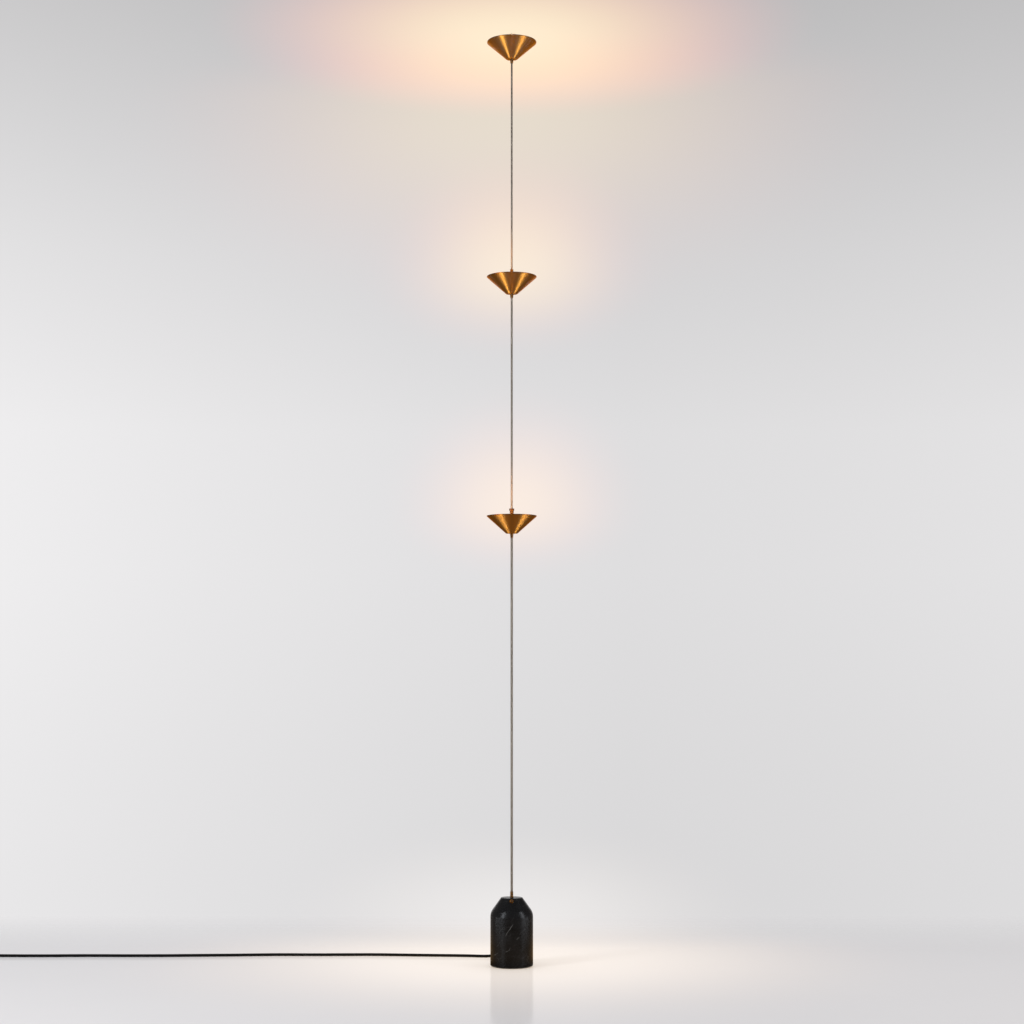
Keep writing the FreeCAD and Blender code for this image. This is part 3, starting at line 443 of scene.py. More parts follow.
def moulded(name, hex_colour, roughness=0.45, grain_mm=0.3, depth_mm=0.02, ior=1.5):
    """A moulded plastic or rubber whose tool was spark eroded to a fine even grain."""
    material, tree = new_material(name)
    point = position(tree)
    grain = noise(tree, point, grain_mm, detail=2.0)
    cloud = noise(tree, point, 18)
    colour = linear(hex_colour)
    shader = add(tree, "ShaderNodeBsdfPrincipled", {
        "Base Color": between(tree, cloud, shaded(colour, 0.88), shaded(colour, 1.1)),
        "Roughness": value_between(tree, grain, roughness - 0.06, roughness + 0.08),
        "IOR": ior,
        "Normal": bump(tree, grain, depth_mm, 0.5),
    })
    finish_with(tree, shader)
    return material


def lead_sheath():
    """Plasticised PVC, extruded: jet black with a soft sheen and a faint drawn waviness."""
    material, tree = new_material("extruded_black_pvc")
    point = position(tree)
    wave = noise(tree, point, 14, detail=2.0)
    fine = noise(tree, point, 0.8, detail=3.0)
    lead = colours().lead
    shader = add(tree, "ShaderNodeBsdfPrincipled", {
        "Base Color": between(tree, wave, shaded(lead, 0.8), shaded(lead, 1.3)),
        "Roughness": value_between(tree, fine, 0.42, 0.55),
        "IOR": 1.54,
        "Specular IOR Level": 0.25,
        "Normal": bump(tree, fine, 0.02, 0.3),
    })
    finish_with(tree, shader)
    return material


def wool_felt():
    """Needled wool felt: a matt tangle of fibres about 0.4 mm long."""
    material, tree = new_material("black_wool_felt")
    point = position(tree)
    fibres = noise(tree, point, 0.4, detail=6.0, roughness=0.75)
    shader = add(tree, "ShaderNodeBsdfPrincipled", {
        "Base Color": between(tree, fibres, opaque(linear("141415")), opaque(linear("343435"))),
        "Roughness": 0.95,
        "Sheen Weight": 0.3,
        "Normal": bump(tree, fibres, 0.2, 0.8),
    })
    finish_with(tree, shader)
    return material


def circuit_board():
    """FR4 board under green solder mask, with pale copper tracks showing through."""
    material, tree = new_material("green_solder_mask")
    point = position(tree)
    tracks = add(tree, "ShaderNodeTexBrick", {
        "Vector": point, "Scale": 1 / (8 * MM), "Mortar Size": 0.04})
    colour = mix(tree, tracks.outputs["Fac"], opaque(linear("124A2A")), opaque(linear("2E7A4B")))
    shader = add(tree, "ShaderNodeBsdfPrincipled", {
        "Base Color": colour,
        "Roughness": value_between(tree, noise(tree, point, 1.0), 0.25, 0.35),
        "IOR": 1.55,
    })
    finish_with(tree, shader)
    return material


def opal_acrylic():
    """Opal PMMA, cast: it scatters the light behind it into an even warm glow."""
    material, tree = new_material("lit_opal_acrylic")
    point = position(tree)
    light = colours().light
    cloud = noise(tree, point, 7, detail=2.0)
    shader = add(tree, "ShaderNodeBsdfPrincipled", {
        "Base Color": opaque(linear("F2EEE4")),
        "Roughness": 0.35,
        "IOR": 1.49,
        "Emission Color": between(tree, cloud, shaded(light, 0.9), shaded(light, 1.0)),
        "Emission Strength": 0.8,
    })
    finish_with(tree, shader)
    return material


def phosphor():
    """Yellow phosphor in clear silicone, lit by the blue chip under it."""
    material, tree = new_material("lit_phosphor")
    point = position(tree)
    cloud = noise(tree, point, 0.5)
    shader = add(tree, "ShaderNodeBsdfPrincipled", {
        "Base Color": between(tree, cloud, opaque(linear("E0A020")), opaque(linear("F0C040"))),
        "Roughness": 0.2,
        "IOR": 1.41,
        "Emission Color": opaque(linear("FFD080")),
        "Emission Strength": 0.9,
    })
    finish_with(tree, shader)
    return material


MADE = {}


def material(make, *arguments):
    """Each material is made once."""
    key = (make.__name__, *arguments)
    if key not in MADE:
        MADE[key] = make(*arguments)
    return MADE[key]


def dress(thing, surface):
    """Gives a piece or a CAD node its material."""
    if not thing.material_slots:
        thing.data.materials.append(surface)
    for slot in thing.material_slots:
        slot.material = surface
    return thing


def dress_nodes(surface, *names):
    for name in names:
        dress(NODES[name], surface)


# ---------------------------------------------------------------- meshes

def new_piece(name, vertices, faces):
    """A closed mesh with smooth faces that look outwards."""
    mesh = bpy.data.meshes.new(name)
    mesh.from_pydata(vertices, [], faces)
    solid = bmesh.new()
    solid.from_mesh(mesh)
    bmesh.ops.recalc_face_normals(solid, faces=solid.faces)
    for face in solid.faces:
        face.smooth = True
    solid.to_mesh(mesh)
    solid.free()
    piece = bpy.data.objects.new(name, mesh)
    bpy.context.scene.collection.objects.link(piece)
    return piece


def place(piece, body, slot, surface, *replaced):
    """Puts a finished piece on its body with its material, and hides the nodes that it stands for. Its slot
    is not used.
    """
    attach(piece, body)
    dress(piece, surface)
    if replaced:
        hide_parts(*replaced)
    return piece


ARC_STEPS = 4
# How far the holding points lie beyond a rounding, as a share of its cut.
HOLDING = 0.5
# The most of a flat that a rounding and a holding point may take.
LONGEST_CUT = 0.42
LONGEST_HOLD = 0.05
# A length or a radius below this counts as none.
NOTHING = 1e-7


def rounded(corners, radius, closed=True):
    """An outline of (radius, height) points with its corners rounded.

    Each rounding has a holding point on both sides, which keeps the flats between the
    roundings evenly shaded.  A corner may give its own rounding as a third number.
    """
    count = len(corners)
    outline = []
    for here, corner in enumerate(corners):
        point = Vector(corner[:2])
        if not closed and here in (0, count - 1):
            outline.append(tuple(point))
            continue
        back = Vector(corners[here - 1][:2]) - point
        ahead = Vector(corners[(here + 1) % count][:2]) - point
        turn = back.angle(ahead)
        own = corner[2] if len(corner) > 2 else radius
        cut = min(own / math.tan(turn / 2), LONGEST_CUT * back.length, LONGEST_CUT * ahead.length)
        if cut < NOTHING:
            outline.append(tuple(point))
            continue
        start = point + back.normalized() * cut
        end = point + ahead.normalized() * cut
        hold_back = min(HOLDING * cut, LONGEST_HOLD * back.length)
        hold_ahead = min(HOLDING * cut, LONGEST_HOLD * ahead.length)
        outline.append(tuple(start + back.normalized() * hold_back))
        for step in range(ARC_STEPS + 1):
            share = step / ARC_STEPS
            first = start.lerp(point, share)
            outline.append(tuple(first.lerp(point.lerp(end, share), share)))
        outline.append(tuple(end + ahead.normalized() * hold_ahead))
    return outline


def lathe(name, outline, around=96, closed=True, displace=None):
    """A piece turned about the lamp's axis.

    An outline that isn't closed starts and ends on the axis.  displace gives a change
    of the radius from the angle, the radius and the height.
    """
    vertices = []
    rings = []
    for radius, height in outline:
        if radius < NOTHING:
            rings.append([len(vertices)])
            vertices.append((0.0, 0.0, height))
            continue
        ring = []
        for step in range(around):
            angle = 2 * math.pi * step / around
            out = radius + (displace(angle, radius, height) if displace else 0.0)
            ring.append(len(vertices))
            vertices.append((out * math.cos(angle), out * math.sin(angle), height))
        rings.append(ring)
    pairs = list(zip(rings, rings[1:]))
    if closed:
        pairs.append((rings[-1], rings[0]))
    faces = []
    for first, second in pairs:
        for step in range(around):
            following = (step + 1) % around
            corners = [first[step % len(first)], first[following % len(first)],
                       second[following % len(second)], second[step % len(second)]]
            faces.append(tuple(dict.fromkeys(corners)))
    return new_piece(name, vertices, faces)


def loft(name, rings):
    """A closed piece through rings of as many points each."""
    vertices = [point for ring in rings for point in ring]
    count = len(rings[0])
    faces = [tuple(range(count)), tuple(range(len(vertices) - count, len(vertices)))]
    for ring in range(len(rings) - 1):
        for step in range(count):
            here = ring * count + step
            beside = ring * count + (step + 1) % count
            faces.append((here, beside, beside + count, here + count))
    return new_piece(name, vertices, faces)


def helix(radius, bottom, top, turns, steps_per_turn, start=0.0):
    """Points of a coil round the lamp's axis."""
    count = int(turns * steps_per_turn)
    points = []
    for step in range(count + 1):
        angle = start + 2 * math.pi * turns * step / count
        height = bottom + (top - bottom) * step / count
        points.append(Vector((radius * math.cos(angle), radius * math.sin(angle), height)))
    return points


def round_wire(name, points, radius, sides=10):
    """A round wire along points, with its ring frames carried along it."""
    rings = []
    across = None
    for here, point in enumerate(points):
        before = points[max(here - 1, 0)]
        after = points[min(here + 1, len(points) - 1)]
        along = (after - before).normalized()
        if across is None:
            across = along.orthogonal().normalized()
        across = (across - along * across.dot(along)).normalized()
        up = along.cross(across)
        rings.append([
            point + radius * (across * math.cos(2 * math.pi * side / sides)
                              + up * math.sin(2 * math.pi * side / sides))
            for side in range(sides)])
    return loft(name, rings)


# ---------------------------------------------------------------- the base

class LAMP_OT_stone_base(bpy.types.Operator):
    """Black marble base with its felt pad, steel cover and screws"""

    bl_idname = "lamp.stone_base"
    bl_label = "Stone Base"

    def execute(self, context):
        dress_nodes(material(black_marble), "marble_base")
        steel = material(plated_steel)
        dress_nodes(steel, "bottom_cover", "cover_screws", "stem_washer", "stem_nut")
        dress_nodes(material(wool_felt), "foot_pad")
        return {"FINISHED"}


class LAMP_OT_driver(bpy.types.Operator):
    """Lamp driver and leads in the hollow of the base"""

    bl_idname = "lamp.driver"
    bl_label = "Driver"

    def execute(self, context):
        nylon = material(moulded, "moulded_black_nylon", "1A1A1B")
        dress_nodes(nylon, "driver_case", "driver_lid", "cable_gland", "dimmer_switch", "feed_plug")
        dress_nodes(material(moulded, "moulded_white_nylon", "D8D6D0"), "terminal_block")
        dress_nodes(material(circuit_board), "driver_board")
        sheath = material(lead_sheath)
        dress_nodes(sheath, "switch_lead", "power_lead", "pole_leads", "inner_mains_lead")
        return {"FINISHED"}


# ---------------------------------------------------------------- the stem

STRANDS = 6
SIDES_PER_STRAND = 5
RINGS_PER_PITCH = 3


def twisted_tube(name, node, bore):
    """A tube drawn with six ridges that wind round it."""
    outer = radius_of(node)
    bottom, top = low(node).z, high(node).z
    pitch = sizes().strand_pitch
    depth = sizes().groove_depth
    around = STRANDS * SIDES_PER_STRAND
    count = max(2, round((top - bottom) / pitch * RINGS_PER_PITCH))
    levels = [bottom + (top - bottom) * step / count for step in range(count + 1)]

    def groove(angle, height):
        phase = STRANDS * (angle - 2 * math.pi * height / (STRANDS * pitch))
        return depth * (1 - abs(math.cos(phase / 2)))

    vertices = []
    for inside in (False, True):
        for height in levels:
            for step in range(around):
                angle = 2 * math.pi * step / around
                radius = bore if inside else outer - groove(angle, height)
                vertices.append((radius * math.cos(angle), radius * math.sin(angle), height))
    faces = []
    wall = len(levels) * around
    for shell in (0, wall):
        for level in range(count):
            for step in range(around):
                here = shell + level * around + step
                beside = shell + level * around + (step + 1) % around
                faces.append((here, beside, beside + around, here + around))
    for level in (0, count):
        for step in range(around):
            here = level * around + step
            beside = level * around + (step + 1) % around
            faces.append((here, beside, beside + wall, here + wall))
    return new_piece(name, vertices, faces)


class LAMP_OT_stem(bpy.types.Operator):
    """The three telescoping tubes of the pole"""

    bl_idname = "lamp.stem"
    bl_label = "Stem"

    def execute(self, context):
        steel = material(twisted_steel)
        wall = 0.5 * MM
        play = 0.08 * MM
        tubes = (
            ("lower_stem", "base", radius_of("middle_stem") + play),
            ("middle_stem", "upper_pole", radius_of("middle_stem") - wall),
            ("upper_stem", "upper_pole", radius_of("upper_stem") - wall),
        )
        for node, body, bore in tubes:
            tube = twisted_tube(f"twisted_{node}", node, bore)
            place(tube, body, "stem_steel", steel, node)
        return {"FINISHED"}


class LAMP_OT_feed(bpy.types.Operator):
    """The curly lead inside the tubes, which stretches as the pole slides; here it is a fixed coil."""

    bl_idname = "lamp.feed"
    bl_label = "Coiled Feed"

    wire_radius = 0.55 * MM
    turn_pitch = 1.6 * MM

    def execute(self, context):
        bottom, top = low("coiled_feed").z, high("coiled_feed").z
        radius = radius_of("coiled_feed") - self.wire_radius
        margin = self.wire_radius
        turns = (top - bottom) / self.turn_pitch
        points = helix(radius, bottom + margin, top - margin, turns, 10)
        feed = round_wire("curly_feed", points, self.wire_radius, 6)
        dress(feed, material(lead_sheath))
        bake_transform(feed)
        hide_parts("coiled_feed")
        return {"FINISHED"}


# ---------------------------------------------------------------- brass fittings

FITTING_PLAY = 0.05 * MM


# The fittings take a darker copy of the shades' brass: painted shade.
def fittings_brass():
    return material(turned_brass, "turned_brass_fittings", 0.38)


def ring_outline(node, bore, profile):
    """A turned fitting's half section: its bore, then (radius, height) pairs going up."""
    bottom, top = low(node).z, high(node).z
    return [(bore, top), (bore, bottom)] + [
        (radius, bottom + (top - bottom) * share) for radius, share in profile]


class LAMP_OT_fittings(bpy.types.Operator):
    """Turned ferrules under the shades and on the stone, and the bush of the button"""

    bl_idname = "lamp.fittings"
    bl_label = "Brass Fittings"

    def execute(self, context):
        brass = fittings_brass()
        edge = sizes().edge_round
        for head, body in HEADS.items():
            node = f"ferrule_{head}"
            wide = radius_of(node)
            narrow = 0.83 * wide
            bore = radius_of(f"{head}_stem") + FITTING_PLAY
            outline = ring_outline(node, bore, (
                (narrow, 0.0), (narrow, 0.16), (narrow - 0.25 * MM, 0.19), (narrow - 0.25 * MM, 0.24),
                (narrow + 0.1 * MM, 0.27), (wide, 0.88), (wide, 1.0)))
            piece = lathe(f"turned_{node}", rounded(outline, edge), 64)
            place(piece, body, "brass", brass, node)
        node = "base_ferrule"
        wide = radius_of(node)
        narrow = 0.89 * wide
        outline = ring_outline(node, radius_of("lower_stem") + FITTING_PLAY, (
            (wide, 0.0), (wide, 0.1), (narrow + 0.1 * MM, 0.16), (narrow, 0.82),
            (narrow - 0.2 * MM, 0.84), (narrow - 0.2 * MM, 0.88), (narrow, 0.9), (narrow, 1.0)))
        place(lathe("turned_base_ferrule", rounded(outline, edge), 64), "base", "brass", brass, node)
        dress_nodes(brass, "button_bush", "dimmer_button", "collet")
        return {"FINISHED"}


class LAMP_OT_height_lock(bpy.types.Operator):
    """Knurled collar that grips the middle tube"""

    bl_idname = "lamp.height_lock"
    bl_label = "Height Lock"

    knurls = 36
    knurl_depth = 0.28 * MM

    def execute(self, context):
        node = "lock_collar"
        bottom, top = low(node).z, high(node).z
        ring = 6.7 * MM
        neck = 5.35 * MM
        groove = 4.9 * MM
        bore = radius_of("collet") + 0.08 * MM
        inner = radius_of("middle_stem") + 0.3 * MM
        shoulder = bottom + 7.2 * MM
        ceiling = top - 1.5 * MM
        band = (shoulder + 0.7 * MM, top - 0.7 * MM)
        levels = 12
        knurled = [(ring, band[0] + (band[1] - band[0]) * step / levels) for step in range(levels + 1)]
        outline = rounded([
            (bore, bottom), (neck, bottom), (neck, bottom + 5.1 * MM), (groove, bottom + 5.1 * MM),
            (groove, bottom + 6.5 * MM), (neck, bottom + 6.5 * MM), (neck, shoulder),
            (ring - 0.35 * MM, shoulder), (ring, shoulder + 0.45 * MM), *knurled,
            (ring, top - 0.45 * MM), (ring - 0.35 * MM, top), (inner, top), (inner, ceiling),
            (bore, ceiling)], 0.12 * MM)

        def knurl(angle, radius, height):
            if radius < ring - 0.05 * MM or not band[0] <= height <= band[1]:
                return 0.0
            climb = (height - band[0]) / ring
            right = math.cos(self.knurls * (angle + climb))
            left = math.cos(self.knurls * (angle - climb))
            return -self.knurl_depth * (1 - abs(right * left)) * 0.8

        collar = lathe("knurled_lock_collar", outline, self.knurls * 6, displace=knurl)
        # The collar takes a darker copy of the brass: painted shade.
        brass = material(turned_brass, "turned_brass_collar", 0.36, 0.5)
        place(collar, "lock_collar", "brass", brass, node)
        return {"FINISHED"}


# ---------------------------------------------------------------- shades and light units

class LAMP_OT_shades(bpy.types.Operator):
    """The three spun cones, each with a rolled rim"""

    bl_idname = "lamp.shades"
    bl_label = "Shades"

    def execute(self, context):
        brass = material(turned_brass, "spun_lacquered_brass")
        # The rim band gets a darker copy of the brass: a painted dark reflection.
        rolled = material(turned_brass, "rolled_brass_edge", 0.28)
        floor_radius = 15.5 * MM
        wall = 1.2 * MM
        # The rolled rim's height and width.
        band = 1.6 * MM
        across = 1.8 * MM
        for head, body in HEADS.items():
            node = f"shade_{head}"
            rim = radius_of(node)
            bottom, top = low(node).z, high(node).z
            slope = (rim - floor_radius) / (top - bottom - band)
            hole = radius_of(f"{head}_stem") + 0.3 * MM
            outline = rounded([
                (hole, bottom, 0.15 * MM),
                (floor_radius, bottom, 1.0 * MM),
                (rim, top - band, 0.4 * MM),
                (rim, top, 0.55 * MM),
                (rim - across, top, 0.55 * MM),
                (rim - across, top - band, 0.4 * MM),
                (floor_radius + slope * wall - across, bottom + wall, 0.8 * MM),
                (hole, bottom + wall, 0.15 * MM)], 0.3 * MM)
            piece = lathe(f"spun_{node}", outline, 256)
            place(piece, body, "brass", brass, node)
            # The faces of the rim band take the darker brass, the painted dark reflection.
            piece.data.materials.append(rolled)
            for face in piece.data.polygons:
                face.material_index = int(face.center.z > top - band)
        return {"FINISHED"}


class LAMP_OT_light_units(bpy.types.Operator):
    """Heat sinks, light boards, diffusers and posts inside the shades"""

    bl_idname = "lamp.light_units"
    bl_label = "Light Units"

    hub_bores = {"lower": 3.4 * MM, "middle": 2.65 * MM, "upper": 3.4 * MM}

    def execute(self, context):
        brass = fittings_brass()
        for head, body in HEADS.items():
            dress_nodes(material(turned_aluminium), f"heat_sink_{head}")
            dress_nodes(material(moulded, "white_solder_mask", "E8E6E0", 0.35), f"led_board_{head}")
            dress_nodes(material(phosphor), f"led_chips_{head}")
            dress_nodes(material(plated_steel), f"board_screws_{head}")
            self.diffuser(head, body)
            self.post(head, body, brass)
        return {"FINISHED"}

    def diffuser(self, head, body):
        node = f"diffuser_{head}"
        bottom, top = low(node).z, high(node).z
        outer = radius_of(node)
        bore = 4.65 * MM
        # Its edge leans out as the cone around it does.
        slope = 1.12 * (top - bottom)
        outline = rounded([
            (bore, bottom), (outer - slope, bottom), (outer, top), (bore, top)], 0.3 * MM)
        place(lathe(f"opal_{node}", outline, 192), body, "opal", material(opal_acrylic), node)

    def post(self, head, body, brass):
        """The hub's flange and post, with a broken edge on top."""
        node = f"hub_{head}"
        bottom, top = low(node).z, high(node).z
        flange = radius_of(node)
        flange_top = bottom + 3 * MM
        post = 4.35 * MM
        bore = self.hub_bores[head]
        outline = rounded([
            (bore, bottom), (flange, bottom), (flange, flange_top), (post, flange_top),
            (post, top), (bore, top)], 0.35 * MM)
        place(lathe(f"turned_{node}", outline, 96), body, "brass", brass, node)


# ---------------------------------------------------------------- ceiling foot

class LAMP_OT_ceiling_foot(bpy.types.Operator):
    """Sprung foot between the highest shade and the ceiling"""

    bl_idname = "lamp.ceiling_foot"
    bl_label = "Ceiling Foot"

    spring_wire = 0.4 * MM
    spring_turns = 9

    def execute(self, context):
        steel = material(plated_steel)
        bottom, top = low("foot_spring").z, high("foot_spring").z
        radius = radius_of("foot_spring") - self.spring_wire
        points = helix(radius, bottom + self.spring_wire, top - self.spring_wire, self.spring_turns, 24)
        spring = round_wire("coiled_foot_spring", points, self.spring_wire, 8)
        dress(spring, steel)
        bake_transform(spring)
        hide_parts("foot_spring")
        self.plunger(steel)
        self.holder()
        self.pad()
        return {"FINISHED"}

    def plunger(self, steel):
        node = "foot_plunger"
        outline = rounded([
            (0, low(node).z), (radius_of(node), low(node).z), (radius_of(node), high(node).z),
            (0, high(node).z)], 0.3 * MM, closed=False)
        place(lathe("ground_foot_plunger", outline, 48, closed=False), "ceiling_foot", "steel", steel, node)

    def holder(self):
        node = "pad_holder"
        bottom, top, edge = low(node).z, high(node).z, radius_of(node)
        outline = rounded([
            (0, bottom), (3.6 * MM, bottom), (4.1 * MM, bottom + 0.3 * MM),
            (edge - 0.8 * MM, bottom + 0.5 * MM), (edge, bottom + 1.1 * MM), (edge, top), (0, top)],
            0.25 * MM, closed=False)
        place(lathe("turned_pad_holder", outline, 96, closed=False), "ceiling_foot", "brass",
              fittings_brass(), node)

    def pad(self):
        """Rubber tip with shallow grip rings on its face."""
        node = "ceiling_pad"
        bottom, top, edge = low(node).z, high(node).z, radius_of(node)
        skirt = high("pad_holder").z
        inside = radius_of("pad_holder") + 0.1 * MM
        grips = []
        for ring in (8.2, 6.2, 4.2, 2.2):
            grips += [(ring * MM, top), ((ring - 0.4) * MM, top - 0.4 * MM),
                      ((ring - 0.8) * MM, top - 0.4 * MM), ((ring - 1.1) * MM, top)]
        outline = rounded([
            (0, skirt), (inside, skirt), (inside, bottom), (edge, bottom, 0.3 * MM),
            (edge, top, 0.9 * MM), *grips, (0, top)], 0.12 * MM, closed=False)
        # Pale rubber, painted lighter and warmer for the lamp's warm light on it.
        rubber = material(moulded, "ivory_silicone_rubber", "EADFC8", 0.6)
        place(lathe("ringed_ceiling_pad", outline, 96, closed=False), "ceiling_foot", "pale_rubber",
              rubber, node)


# ---------------------------------------------------------------- mains lead

# The lead's points in millimetres, from the CAD source: straight out of the strain
# relief, round behind the base, then along the floor to its put-away turns.  Two of
# them lie 1 and 2 mm aside from the source's points, the one at -364 and the last.
LEAD_POINTS = (
    (0, 57, 16),
    (0, 116, 16),
    (-21, 149, 9.5),
    (-66, 158, 3.75),
    (-118, 171.5, 3.75),
    (-196, 177, 3.75),
    (-280, 184, 3.75),
    (-364, 193.4, 3.75),
    (-456, 191.5, 3.75),
    (-540, 189, 3.75),
    (-632, 193.5, 3.75),
    (-736, 184, 3.75),
    (-842, 178.5, 3.75),
    (-946, 172, 3.75),
    (-1052, 171.5, 3.75),
    (-1154, 175, 3.75),
    (-1250, 169.5, 3.75),
    (-1344, 170.5, 3.75),
    (-1422, 174.5, 3.75),
)
COIL_CENTRE = (-1450, 128)
COIL_TURNS = 3.25
POINTS_PER_TURN = 16
# Radius and height of the lead's middle in each turn, in millimetres.
LANES = ((48.75, 3.75), (41.25, 3.75), (41.25, 11.25), (46.0, 11.25))
LANE_CHANGE = 0.8
# From the turns to the plug: over the outer turn, then down to the plug's height.
LEAD_END = ((-1496, 112, 11.4), (-1495.5, 98, 10), (-1495, 84, 7), (-1495, 78, 7))


def coil_point(turns):
    """A point of the put-away turns: from one lane to the next at the end of each turn."""
    lane = min(int(turns), len(LANES) - 1)
    following = min(lane + 1, len(LANES) - 1)
    change = max(0.0, (turns - lane - LANE_CHANGE) / (1 - LANE_CHANGE))
    blend = change * change * (3 - 2 * change)
    radius, height = (
        first + (second - first) * blend for first, second in zip(LANES[lane], LANES[following]))
    angle = math.radians(90 + 360 * turns)
    return (COIL_CENTRE[0] + radius * math.cos(angle), COIL_CENTRE[1] + radius * math.sin(angle), height)


def lead_route():
    steps = int(COIL_TURNS * POINTS_PER_TURN)
    turns = [coil_point(step / POINTS_PER_TURN) for step in range(steps + 1)]
    return [Vector(point) * MM for point in (*LEAD_POINTS, *turns, *LEAD_END)]


def power(value, exponent):
    """A signed power, for rounded squares."""
    return math.copysign(abs(value) ** exponent, value)


def plug_plastic():
    return material(moulded, "moulded_black_abs", "121213", 0.42)


class LAMP_OT_mains_lead(bpy.types.Operator):
    """Mains lead with its strain relief and plug"""

    bl_idname = "lamp.mains_lead"
    bl_label = "Mains Lead"

    def execute(self, context):
        relief = self.strain_relief()
        plug = self.plug()
        pins = self.pins()
        sleeves = self.pin_sleeves()
        lead = self.lead()
        return {"FINISHED"}

    def lead(self):
        curve = bpy.data.curves.new("mains_lead_line", "CURVE")
        curve.dimensions = "3D"
        curve.resolution_u = 12
        curve.bevel_resolution = 6
        curve.use_fill_caps = True
        route = lead_route()
        spline = curve.splines.new("NURBS")
        spline.points.add(len(route) - 1)
        # The points carry the lead's radius and the bevel is 1, because Blender's box
        # of a curve reaches as far beyond each point as the point's radius says.
        curve.bevel_depth = 1.0
        for point, target in zip(spline.points, route):
            point.co = (*target, 1.0)
            point.radius = sizes().lead_diameter / 2
        spline.order_u = 3
        spline.use_endpoint_u = True
        lead = bpy.data.objects.new("flexible_mains_lead", curve)
        bpy.context.scene.collection.objects.link(lead)
        return place(lead, "base", "cord_sheath", material(lead_sheath),
                     "mains_lead", "mains_lead_coil", "mains_lead_end")

    def strain_relief(self):
        """Tapered rubber sleeve with ribs, straight along the lead where it leaves the base."""
        node = "strain_relief"
        start, end = low(node).y, high(node).y
        root = radius_of(node)
        tip = 4.7 * MM
        bore = sizes().lead_diameter / 2 + 0.05 * MM
        ribs = 6
        collar = 5 * MM
        rib_pitch = (end - start - collar - 2 * MM) / ribs
        outline = [(bore, 0), (root, 0), (root, collar)]
        for rib in range(ribs):
            at = collar + rib * rib_pitch
            radius = root + (tip - root) * at / (end - start)
            outline += [
                (radius - 0.9 * MM, at + 0.15 * rib_pitch), (radius - 0.9 * MM, at + 0.45 * rib_pitch),
                (radius - 0.1 * MM, at + 0.6 * rib_pitch), (radius - 0.2 * MM, at + rib_pitch)]
        outline += [(tip, end - start), (bore, end - start)]
        piece = lathe("ribbed_strain_relief", rounded(outline, 0.25 * MM), 48)
        piece.data.transform(Matrix.Rotation(math.radians(-90), 4, "X"))
        piece.data.transform(Matrix.Translation((0, start, middle(node).z)))
        rubber = material(moulded, "moulded_black_rubber", "101011", 0.5)
        return place(piece, "base", "cord_sheath", rubber, node)

    def plug(self):
        """Flat moulded plug: an oval section that grows from the neck and narrows to its face."""
        lower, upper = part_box("plug_body")
        centre_x, centre_z = middle("plug_body").x, middle("plug_body").z
        half_wide = (upper.x - lower.x) / 2
        half_thick = (upper.z - lower.z) / 2
        # Distance from the neck's end in mm, half width and half thickness as shares, squareness.
        sections = (
            (0, 0.235, 0.58, 2.0), (1.0, 0.26, 0.64, 2.0), (6, 0.275, 0.68, 2.0),
            (11, 0.30, 0.74, 2.0), (14, 0.36, 0.83, 2.2), (17, 0.62, 0.93, 2.6), (20, 0.86, 0.985, 3.2),
            (23, 0.955, 1.0, 3.6), (26, 0.955, 1.0, 4.0), (27.5, 0.925, 0.985, 4.0),
            (29, 0.945, 1.0, 4.0), (30.5, 0.90, 0.985, 4.0), (32, 0.915, 1.0, 4.0),
            (33.5, 0.87, 0.985, 4.0), (35, 0.885, 1.0, 4.0), (40, 0.83, 1.0, 4.4),
            (46, 0.78, 1.0, 4.6), (48.6, 0.75, 0.99, 4.6), (49.6, 0.71, 0.93, 4.4), (50, 0.66, 0.86, 4.2),
        )
        around = 48
        rings = []
        for distance, wide, thick, squareness in sections:
            ring = []
            for step in range(around):
                angle = 2 * math.pi * step / around
                ring.append((
                    centre_x + half_wide * wide * power(math.cos(angle), 2 / squareness),
                    upper.y - distance * MM,
                    centre_z + half_thick * thick * power(math.sin(angle), 2 / squareness)))
            rings.append(ring)
        body = loft("moulded_plug_body", rings)
        return place(body, "base", "plug_plastic", plug_plastic(), "plug_body")

    def pin_pair(self, name, outline):
        """Two like pins beside each other, from their outline along the pin."""
        lower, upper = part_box("plug_pins")
        radius = (upper.z - lower.z) / 2
        pin = lathe(name, outline, 32, closed=False)
        pin.data.transform(Matrix.Rotation(math.radians(90), 4, "X"))
        pin.data.transform(Matrix.Translation((lower.x + radius, upper.y, middle("plug_pins").z)))
        other = bmesh.new()
        other.from_mesh(pin.data)
        copy = bmesh.ops.duplicate(other, geom=other.faces[:] + other.verts[:] + other.edges[:])
        verts = [part for part in copy["geom"] if isinstance(part, bmesh.types.BMVert)]
        bmesh.ops.translate(other, verts=verts, vec=(upper.x - lower.x - 2 * radius, 0, 0))
        other.to_mesh(pin.data)
        other.free()
        return pin

    def pins(self):
        length = high("plug_pins").y - low("plug_pins").y
        radius = (high("plug_pins").z - low("plug_pins").z) / 2
        outline = rounded([
            (0, 0), (0.8 * radius, 0), (0.8 * radius, 0.5 * length), (radius, 0.5 * length),
            (radius, length, 0.95 * radius), (0, length)], 0.2 * MM, closed=False)
        pins = self.pin_pair("nickel_plug_pins", outline)
        return place(pins, "base", "pin_metal", material(plated_steel), "plug_pins")

    def pin_sleeves(self):
        length = high("plug_pins").y - low("plug_pins").y
        radius = (high("plug_pins").z - low("plug_pins").z) / 2
        outline = rounded([
            (0, 0), (0.97 * radius, 0), (0.97 * radius, 0.53 * length), (0, 0.53 * length)],
            0.15 * MM, closed=False)
        sleeves = self.pin_pair("plug_pin_sleeves", outline)
        return place(sleeves, "base", "plug_plastic", plug_plastic())


# ---------------------------------------------------------------- the stage

